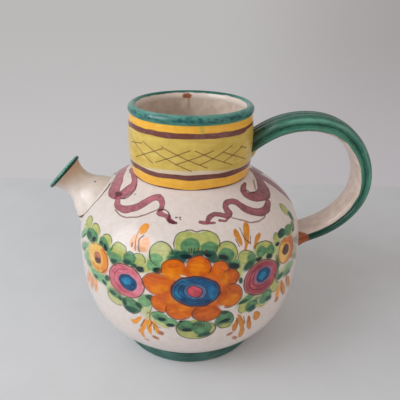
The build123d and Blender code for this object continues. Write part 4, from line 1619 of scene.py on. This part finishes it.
def build_neck():
    inner_top = (neck_top_radius - neck_wall, neck_top)
    inner_middle = (inner_top[0] + neck_inner_bulge, between(seam_height, neck_top, 0.5))
    inner_seam = (neck_seam_radius - neck_wall, seam_height)
    top = straight((neck_top_radius, neck_top), inner_top, 2)
    bottom = straight(inner_seam, (neck_seam_radius, seam_height), 2)
    outline = joined(neck_outline, top, arc(inner_top, inner_middle, inner_seam, 24), bottom)[:-1]
    neck = turned_piece("neck", outline, neck_columns, neck_material())
    neck.data.materials.append(neck_inside_material())
    painted = (len(neck_outline) - 1) * neck_columns
    inner = np.arange(len(neck.data.polygons)) >= painted
    neck.data.polygons.foreach_set("material_index", inner.astype(np.int32))
    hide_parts("neck_collar")


def build_rim():
    inner = neck_top_radius - neck_wall
    middle = between(neck_top, rim_top, rim_middle_share)
    crest = (between(inner, neck_top_radius, 0.5), rim_top)
    outside = arc((neck_top_radius, neck_top), (neck_top_radius + rim_overhang, middle), crest, 16)
    inside = arc(crest, (inner - rim_inner_overhang, middle), (inner, neck_top), 16)
    outline = joined(outside, inside, straight((inner, neck_top), (neck_top_radius, neck_top), 3))[:-1]
    rim = turned_piece("rim", outline, neck_columns, rim_material())
    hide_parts("rim_roll")


def smooth_path(points, steps):
    """Points on a smooth curve through given ones, at the pace of the chords between them."""
    p = np.array(points, float)
    t = lengths_along(p)
    h = np.diff(t)
    count = len(p)
    matrix = np.eye(count)
    wanted = np.zeros((count, 2))
    for side, spot in ((slice(0, 4), 0), (slice(-4, None), count - 1)):
        wanted[spot] = np.polyfit(t[side] - t[spot], p[side], 3)[2]
    for i in range(1, count - 1):
        matrix[i, i - 1:i + 2] = 1 / h[i - 1], 2 / h[i - 1] + 2 / h[i], 1 / h[i]
        wanted[i] = 3 * ((p[i] - p[i - 1]) / h[i - 1] ** 2 + (p[i + 1] - p[i]) / h[i] ** 2)
    slopes = np.linalg.solve(matrix, wanted)
    u = np.linspace(0, 1, steps, endpoint=False)[:, None]
    found = []
    for i in range(count - 1):
        start = (2 * u ** 3 - 3 * u ** 2 + 1) * p[i] + (u ** 3 - 2 * u ** 2 + u) * h[i] * slopes[i]
        end = (3 * u ** 2 - 2 * u ** 3) * p[i + 1] + (u ** 3 - u ** 2) * h[i] * slopes[i + 1]
        found.append(start + end)
    return np.concatenate(found + [p[-1:]])


def handle_points():
    """Points that the handle's middle line runs through."""
    stretches = (
        (neck_middle_radius, handle_root, upper_path_shares),
        (neck_middle_radius, handle_foot_height, outer_path_shares),
        (belly_radius, handle_foot_height, lower_path_shares),
    )
    return [
        (between(inner, handle_reach, out), between(low, handle_top, up))
        for inner, low, shares in stretches
        for out, up in shares
    ]


handle_line = smooth_path(handle_points(), 24)
handle_lengths = lengths_along(handle_line)
handle_length = handle_lengths[-1]
handle_slopes = np.gradient(handle_line, handle_lengths, axis=0)
pad_start = handle_length - (belly_radius - handle_line[-1, 0] + pad_length)


def on_handle(along, across, out):
    """Places at lengths along the handle's line, off to its side and off it outwards."""
    x, z, run, rise = [
        np.interp(along, handle_lengths, table)
        for table in (handle_line[:, 0], handle_line[:, 1], handle_slopes[:, 0], handle_slopes[:, 1])
    ]
    size = np.hypot(run, rise)
    return np.stack(np.broadcast_arrays(x - rise / size * out, across, z + run / size * out), -1)


def met(place_at, radius_at, outside, inside):
    """Where lines that run from outside to inside go into a round body, one for each line."""
    low, high = outside, inside
    for _ in range(halvings):
        middle = (low + high) / 2
        spots = place_at(middle)
        buried = np.hypot(spots[:, 0], spots[:, 1]) < radius_at(spots[:, 2]) - luting_depth
        high = np.where(buried, middle, high)
        low = np.where(buried, low, middle)
    return (low + high) / 2


def strap_section():
    """Outline of the strap's section: three ribs outside, round edges, near flat inside."""
    crest = strap_thickness / 2
    edge = rib_pitch * 3 / 2

    def outer(across, drop):
        return across, crest - drop - rib_fall * (across / edge) ** 2

    ribs = []
    for middle in (-rib_pitch, 0, rib_pitch):
        low, high = middle - rib_pitch / 2, middle + rib_pitch / 2
        ribs.append(arc(outer(low, rib_groove), outer(middle, 0), outer(high, rib_groove), 10))
    side = strap_width / 2
    far = outer(edge, rib_groove)
    groove = (side - edge_groove, 0.0)
    near = (edge, rib_groove - crest)
    far_edge = [
        arc(far, (side, far[1] * strap_edge_share), groove, 10),
        arc(groove, (side, near[1] * strap_edge_share), near, 10),
    ]
    inner = arc(near, (0, -crest), (-edge, near[1]), 16)
    near_edge = [stretch[::-1] * (-1, 1) for stretch in far_edge[::-1]]
    return joined(*ribs, *far_edge, inner, *near_edge)[:-1]


def tube_faces(rows, columns):
    """Faces of a tube of rows by columns, closed by a fan at each end."""
    faces, _ = ring_grid(rows, columns, closed=False)
    last = (rows - 1) * columns
    for k in range(columns):
        m = (k + 1) % columns
        faces.append((rows * columns, m, k))
        faces.append((rows * columns + 1, last + k, last + m))
    return faces


def with_middles(points, columns):
    """Points of a tube's rows and, after them, the middles of its first and last row."""
    return np.concatenate([points, [points[:columns].mean(axis=0), points[-columns:].mean(axis=0)]])


def tube_maps(faces, values):
    """Map places of faces from the values of their points."""
    return {name: [value[corner] for face in faces for corner in face] for name, value in values.items()}


def build_strap(name, along, node, material):
    """Stretch of the strap: along holds the length along the handle for each row and column."""
    across, out = strap_section().T
    swell = 1 + pad_swell / (strap_thickness / 2) * np.clip((along - pad_start) / pad_length, 0, 1) ** 2
    points = on_handle(along, across * swell, out * swell).reshape(-1, 3)
    faces = tube_faces(*along.shape)
    near = np.minimum(along - strap_starts, strap_ends - along)

    def map_of(first, second, middles):
        pairs = np.stack(np.broadcast_arrays(first, second), -1).reshape(-1, 2)
        return np.concatenate([pairs, middles])

    maps = tube_maps(faces, {
        "Along": map_of(along, across, [[along[0, 0], 0], [along[-1, 0], 0]]),
        "Depth": map_of(out, near, [[0, 0], [0, 0]]),
    })
    piece = new_piece(name, with_middles(points, along.shape[1]), faces, material, maps)
    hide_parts(node)


def strap_met(radius_at, outside, inside):
    """Where each line along the strap's section goes into a round body."""
    across, out = strap_section().T
    ends = np.full(len(out), float(outside)), np.full(len(out), float(inside))
    return met(lambda along: on_handle(along, across, out), radius_at, *ends)


strap_starts = strap_met(neck_radius_at, wad_reach, 0)
strap_ends = strap_met(belly_radius_at, pad_start, handle_length)


def build_handle():
    """The strap from the neck's wall to the pad, and the pad from there into the belly's wall."""
    glaze_of_strap = strap_material()
    steps = np.arange(strap_rows + 1)[:, None]
    even = between(strap_starts.min(), pad_start, steps / strap_rows)
    fading = np.clip(1 - steps / strap_fading_rows, 0, 1)
    along = even + (strap_starts - strap_starts.min()) * fading
    build_strap("handle", along, "handle_strap", glaze_of_strap)
    along = between(pad_start, strap_ends, np.arange(pad_rows + 1)[:, None] / pad_rows)
    build_strap("handle_pad", along, "handle_lower_luting", glaze_of_strap)


def build_wad():
    """Clay thumbed into the corner under the strap, hollowed like a fillet."""
    inner = -strap_thickness / 2
    corner_along = met(
        lambda along: on_handle(along, np.zeros(1), np.full(1, inner)),
        neck_radius_at,
        np.array([float(wad_reach)]),
        np.zeros(1),
    )[0]
    points = []
    for k in range(wad_columns + 1):
        across = between(-wad_width / 2, wad_width / 2, k / wad_columns)
        share = max(1 - (2 * k / wad_columns - 1) ** 2, wad_least_share) ** 0.5
        corner = on_handle(corner_along, across, inner)
        strap_end = on_handle(corner_along + wad_run * share, across, inner + luting_depth)
        low = corner[2] - wad_drop * share
        neck_end = np.array([neck_radius_at(low) - luting_depth, across, low])
        deep = on_handle(corner_along - luting_depth, across, inner + 2 * luting_depth)
        pull = between(between(neck_end, strap_end, 0.5), corner, wad_hollow_share)
        pulled = [between(end, pull, wad_pull_share) for end in (neck_end, strap_end)]
        face = bezier([neck_end, *pulled, strap_end], 10)
        for spot in [*face, deep]:
            x = spot[0]
            if x < neck_middle_radius + wad_neck_margin:
                x = (max(x, 0) ** 2 - across ** 2) ** 0.5
            points.append((x, across, spot[2]))
    around = len(points) // (wad_columns + 1)
    faces = tube_faces(wad_columns + 1, around)
    points = with_middles(np.array(points), around)
    wad = new_piece("handle_wad", points, faces, wad_material())
    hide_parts("handle_upper_luting")


# Spout

spout_out = np.array([-cos(spout_rise), 0, sin(spout_rise)])
spout_across = np.array([sin(spout_rise), 0, cos(spout_rise)])
spout_front = np.array([0, 1, 0])


def spout_tip():
    """Middle of the lip's face: out from the seat, which is a share of the shoulder's length up it."""
    curve = bezier(belly_upper, 200)
    lengths = lengths_along(curve)
    radius, height = [np.interp(lengths[-1] * spout_seat_share, lengths, side) for side in curve.T]
    return np.array([-radius, 0, height]) + spout_out * spout_length


spout_middle = spout_tip()


def on_spout(depth, radius, angle):
    """Places at a depth behind the lip's face, at a radius and an angle round the spout's axis."""
    depth, radius, angle = np.broadcast_arrays(depth, radius, angle)
    sideways = np.cos(angle)[..., None] * spout_across + np.sin(angle)[..., None] * spout_front
    return spout_middle - depth[..., None] * spout_out + radius[..., None] * sideways


def spout_outline():
    """Outside of the spout from the lip's back to the flare's end, as (depth, radius)."""
    tube = arc(
        (spout_lip_thickness, spout_shoulder_radius),
        (between(spout_lip_thickness, spout_joint_depth, 0.5), spout_waist_radius),
        (spout_joint_depth, spout_joint_radius),
        40,
    )
    end = (spout_joint_depth + spout_flare_length, spout_flare_radius)
    flare = [(spout_joint_depth, spout_joint_radius)]
    for across, along in spout_flare_shares:
        depth = between(spout_joint_depth, end[0], along)
        flare.append((depth, between(spout_joint_radius, spout_flare_radius, across)))
    return joined(tube, bezier([*flare, end], 40))


def build_spout():
    angles = angles_round(spout_columns)
    outline = spout_outline()
    lengths = lengths_along(outline)

    def outside(length):
        depth, radius = [np.interp(length, lengths, side) for side in outline.T]
        return on_spout(depth, radius, angles)

    def bore(depth):
        return on_spout(depth, spout_bore_radius, angles)

    def met_belly(place_at, start, end):
        return met(place_at, belly_radius_at, np.full(spout_columns, start), np.full(spout_columns, end))

    ends = met_belly(outside, lengths[20], lengths[-1])
    rows, edges = [], []
    for i in range(spout_rows + 1):
        rows.append(outside(ends * i / spout_rows))
        edges.append(ends * (1 - i / spout_rows))
    bore_end = met_belly(bore, spout_throat_depth, spout_joint_depth + spout_flare_length)
    for share in np.linspace(0, 1, 9):
        rows.append(bore(between(bore_end, spout_throat_depth, share)))
    mouth = spout_mouth_radius - spout_lip_thickness / 4
    for share in np.linspace(0, 1, 9)[1:]:
        depth = between(spout_throat_depth, spout_lip_thickness, share)
        rows.append(on_spout(depth, between(spout_bore_radius, mouth, share), angles))
    edges += [np.full(spout_columns, far_from_root)] * (len(rows) - len(edges))
    faces, _ = ring_grid(len(rows), spout_columns)
    distance = np.concatenate(edges)
    maps = tube_maps(faces, {"Root": np.stack([distance, distance], 1)})
    spout = new_piece("spout", np.concatenate(rows), faces, spout_material(), maps)
    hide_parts("spout_tube", "spout_collar")


def build_spout_lip():
    """Thin flange round the mouth, with rounded edges."""
    depth = spout_lip_thickness
    inner = spout_mouth_radius - depth / 4
    back_outer = (depth, spout_shoulder_radius)
    edge = (spout_edge_depth, spout_shoulder_radius)
    mouth = (spout_mouth_depth, spout_mouth_radius)
    outside = arc(back_outer, (depth / 2, spout_lip_radius), edge, 10)
    rounding = arc(edge, (0, spout_shoulder_radius - spout_edge_rounding), mouth, 8)
    inside = straight(mouth, (depth, inner), 4)
    outline = joined(outside, rounding, inside, straight((depth, inner), back_outer, 2))[:-1]
    angles = angles_round(spout_columns)
    rows = [on_spout(d, r, angles) for d, r in outline]
    faces, _ = ring_grid(len(rows), spout_columns)
    lip = new_piece("spout_lip_rim", np.concatenate(rows), faces, lip_material())
    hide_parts("spout_lip")


def cut_spout_hole(belly, material):
    """The hole through the belly's wall under the spout."""
    angles = angles_round(hole_columns)
    depths = np.linspace(spout_length - hole_overrun, spout_length + belly_wall + hole_overrun, 6)
    rows = [on_spout(depth, spout_bore_radius, angles) for depth in depths]
    ends = [on_spout(depths[0], 0.0, 0.0), on_spout(depths[-1], 0.0, 0.0)]
    faces = tube_faces(len(rows), hole_columns)
    points = np.concatenate([*rows, np.stack(ends)])
    cutter = new_piece("spout_cutter", points, faces, material)
    cut = belly.modifiers.new("hole", "BOOLEAN")
    cut.object = cutter
    cut.operation = "DIFFERENCE"
    cut.solver = "EXACT"
    graph = bpy.context.evaluated_depsgraph_get()
    whole = belly.data
    belly.data = bpy.data.meshes.new_from_object(belly.evaluated_get(graph), depsgraph=graph)
    belly.data.name = "belly"
    belly.modifiers.clear()
    bpy.data.meshes.remove(whole)
    used = cutter.data
    bpy.data.objects.remove(cutter)
    bpy.data.meshes.remove(used)


build_belly()
build_neck()
build_rim()
build_handle()
build_wad()
build_spout()
build_spout_lip()
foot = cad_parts["foot_disc"]
foot.data.materials.clear()
foot.data.materials.append(foot_material())


# Stage, light and camera: the camera's place in millimetres, all other lengths in metres

floor_back = 0.2904
floor_back_turn = -0.0102
floor_size = 3.0
camera_place = (7.16, -280.2, 241.8)
camera_tilt = radians(64.57)
camera_roll = radians(1.05)
lens = 37.08
sensor_width = 36.0
lamp_target = (0, 0, 0.09)

# Lamps: name, place, size, power and colour
LAMPS = [
    ("window", (-0.9, -0.48, 0.7), 0.8, 10.0, (0.9, 0.955, 1.0)),
    ("room", (0.8, -0.7, 0.5), 1.0, 1.9, (1.0, 0.84, 0.72)),
]


def build_floor():
    mesh = bpy.data.meshes.new("floor")
    corners = [
        (-floor_size, -floor_size, 0),
        (floor_size, -floor_size, 0),
        (floor_size, floor_back + floor_back_turn * floor_size, 0),
        (-floor_size, floor_back - floor_back_turn * floor_size, 0),
    ]
    mesh.from_pydata(corners, [], [(0, 1, 2, 3)])
    floor = bpy.data.objects.new("floor", mesh)
    bpy.context.scene.collection.objects.link(floor)
    nodes = new_material("floor")
    grain = nodes.noise(nodes.place(), 40.0, detail=2.0)
    colour = nodes.clouded(grain, (214, 215, 217), (210, 211, 213))
    nodes.feed(nodes.shader.inputs["Base Color"], colour)
    nodes.shader.inputs["Roughness"].default_value = 0.55
    mesh.materials.append(nodes.material)


def build_world():
    world = bpy.data.worlds.new("studio")
    world.use_nodes = True
    bpy.context.scene.world = world
    nodes = Nodes(world.node_tree)
    out = world.node_tree.nodes["World Output"]
    light = world.node_tree.nodes["Background"]
    light.inputs["Color"].default_value = (1.0, 0.965, 0.945, 1)
    light.inputs["Strength"].default_value = 0.48
    x, y, z = nodes.split(nodes.add("TexCoord").outputs["Generated"])
    high = nodes.mix(nodes.step(x, 0.0, 0.45), (187, 184, 184), (165, 160, 160))
    low = nodes.mix(nodes.step(x, -0.3, 0.5), (196, 194, 195), (180, 175, 178))
    behind = nodes.scaled(nodes.step(y, 0.1, -0.6), -0.6, 1.0)
    seen_wall = {"Color": nodes.mix(nodes.step(z, -0.36, -0.02), low, high), "Strength": behind}
    wall = nodes.add("Background", seen_wall)
    rays = nodes.add("LightPath").outputs
    seen = nodes.math("MAXIMUM", rays["Is Camera Ray"], rays["Is Glossy Ray"])
    seen = nodes.math("MAXIMUM", seen, rays["Is Transmission Ray"])
    mixed = nodes.add("MixShader", {0: seen, 1: light.outputs[0], 2: wall.outputs[0]})
    nodes.feed(out.inputs["Surface"], mixed.outputs[0])


def add_lamp(name, place, size, power, colour):
    lamp = bpy.data.lights.new(name, "AREA")
    lamp.size = size
    lamp.energy = power
    lamp.color = colour
    thing = bpy.data.objects.new(name, lamp)
    thing.location = place
    thing.rotation_euler = (Vector(lamp_target) - Vector(place)).to_track_quat("-Z", "Y").to_euler()
    bpy.context.scene.collection.objects.link(thing)


def build_camera():
    data = bpy.data.cameras.new("camera")
    data.lens = lens
    data.sensor_width = sensor_width
    data.clip_start = 0.01
    camera = bpy.data.objects.new("camera", data)
    turn = Matrix.Rotation(camera_tilt, 4, "X") @ Matrix.Rotation(camera_roll, 4, "Z")
    camera.matrix_world = Matrix.Translation(Vector(camera_place) * MM) @ turn
    bpy.context.scene.collection.objects.link(camera)
    bpy.context.scene.camera = camera


build_floor()
build_world()
build_camera()
for lamp in LAMPS:
    add_lamp(*lamp)
bpy.context.scene.view_settings.view_transform = "Standard"
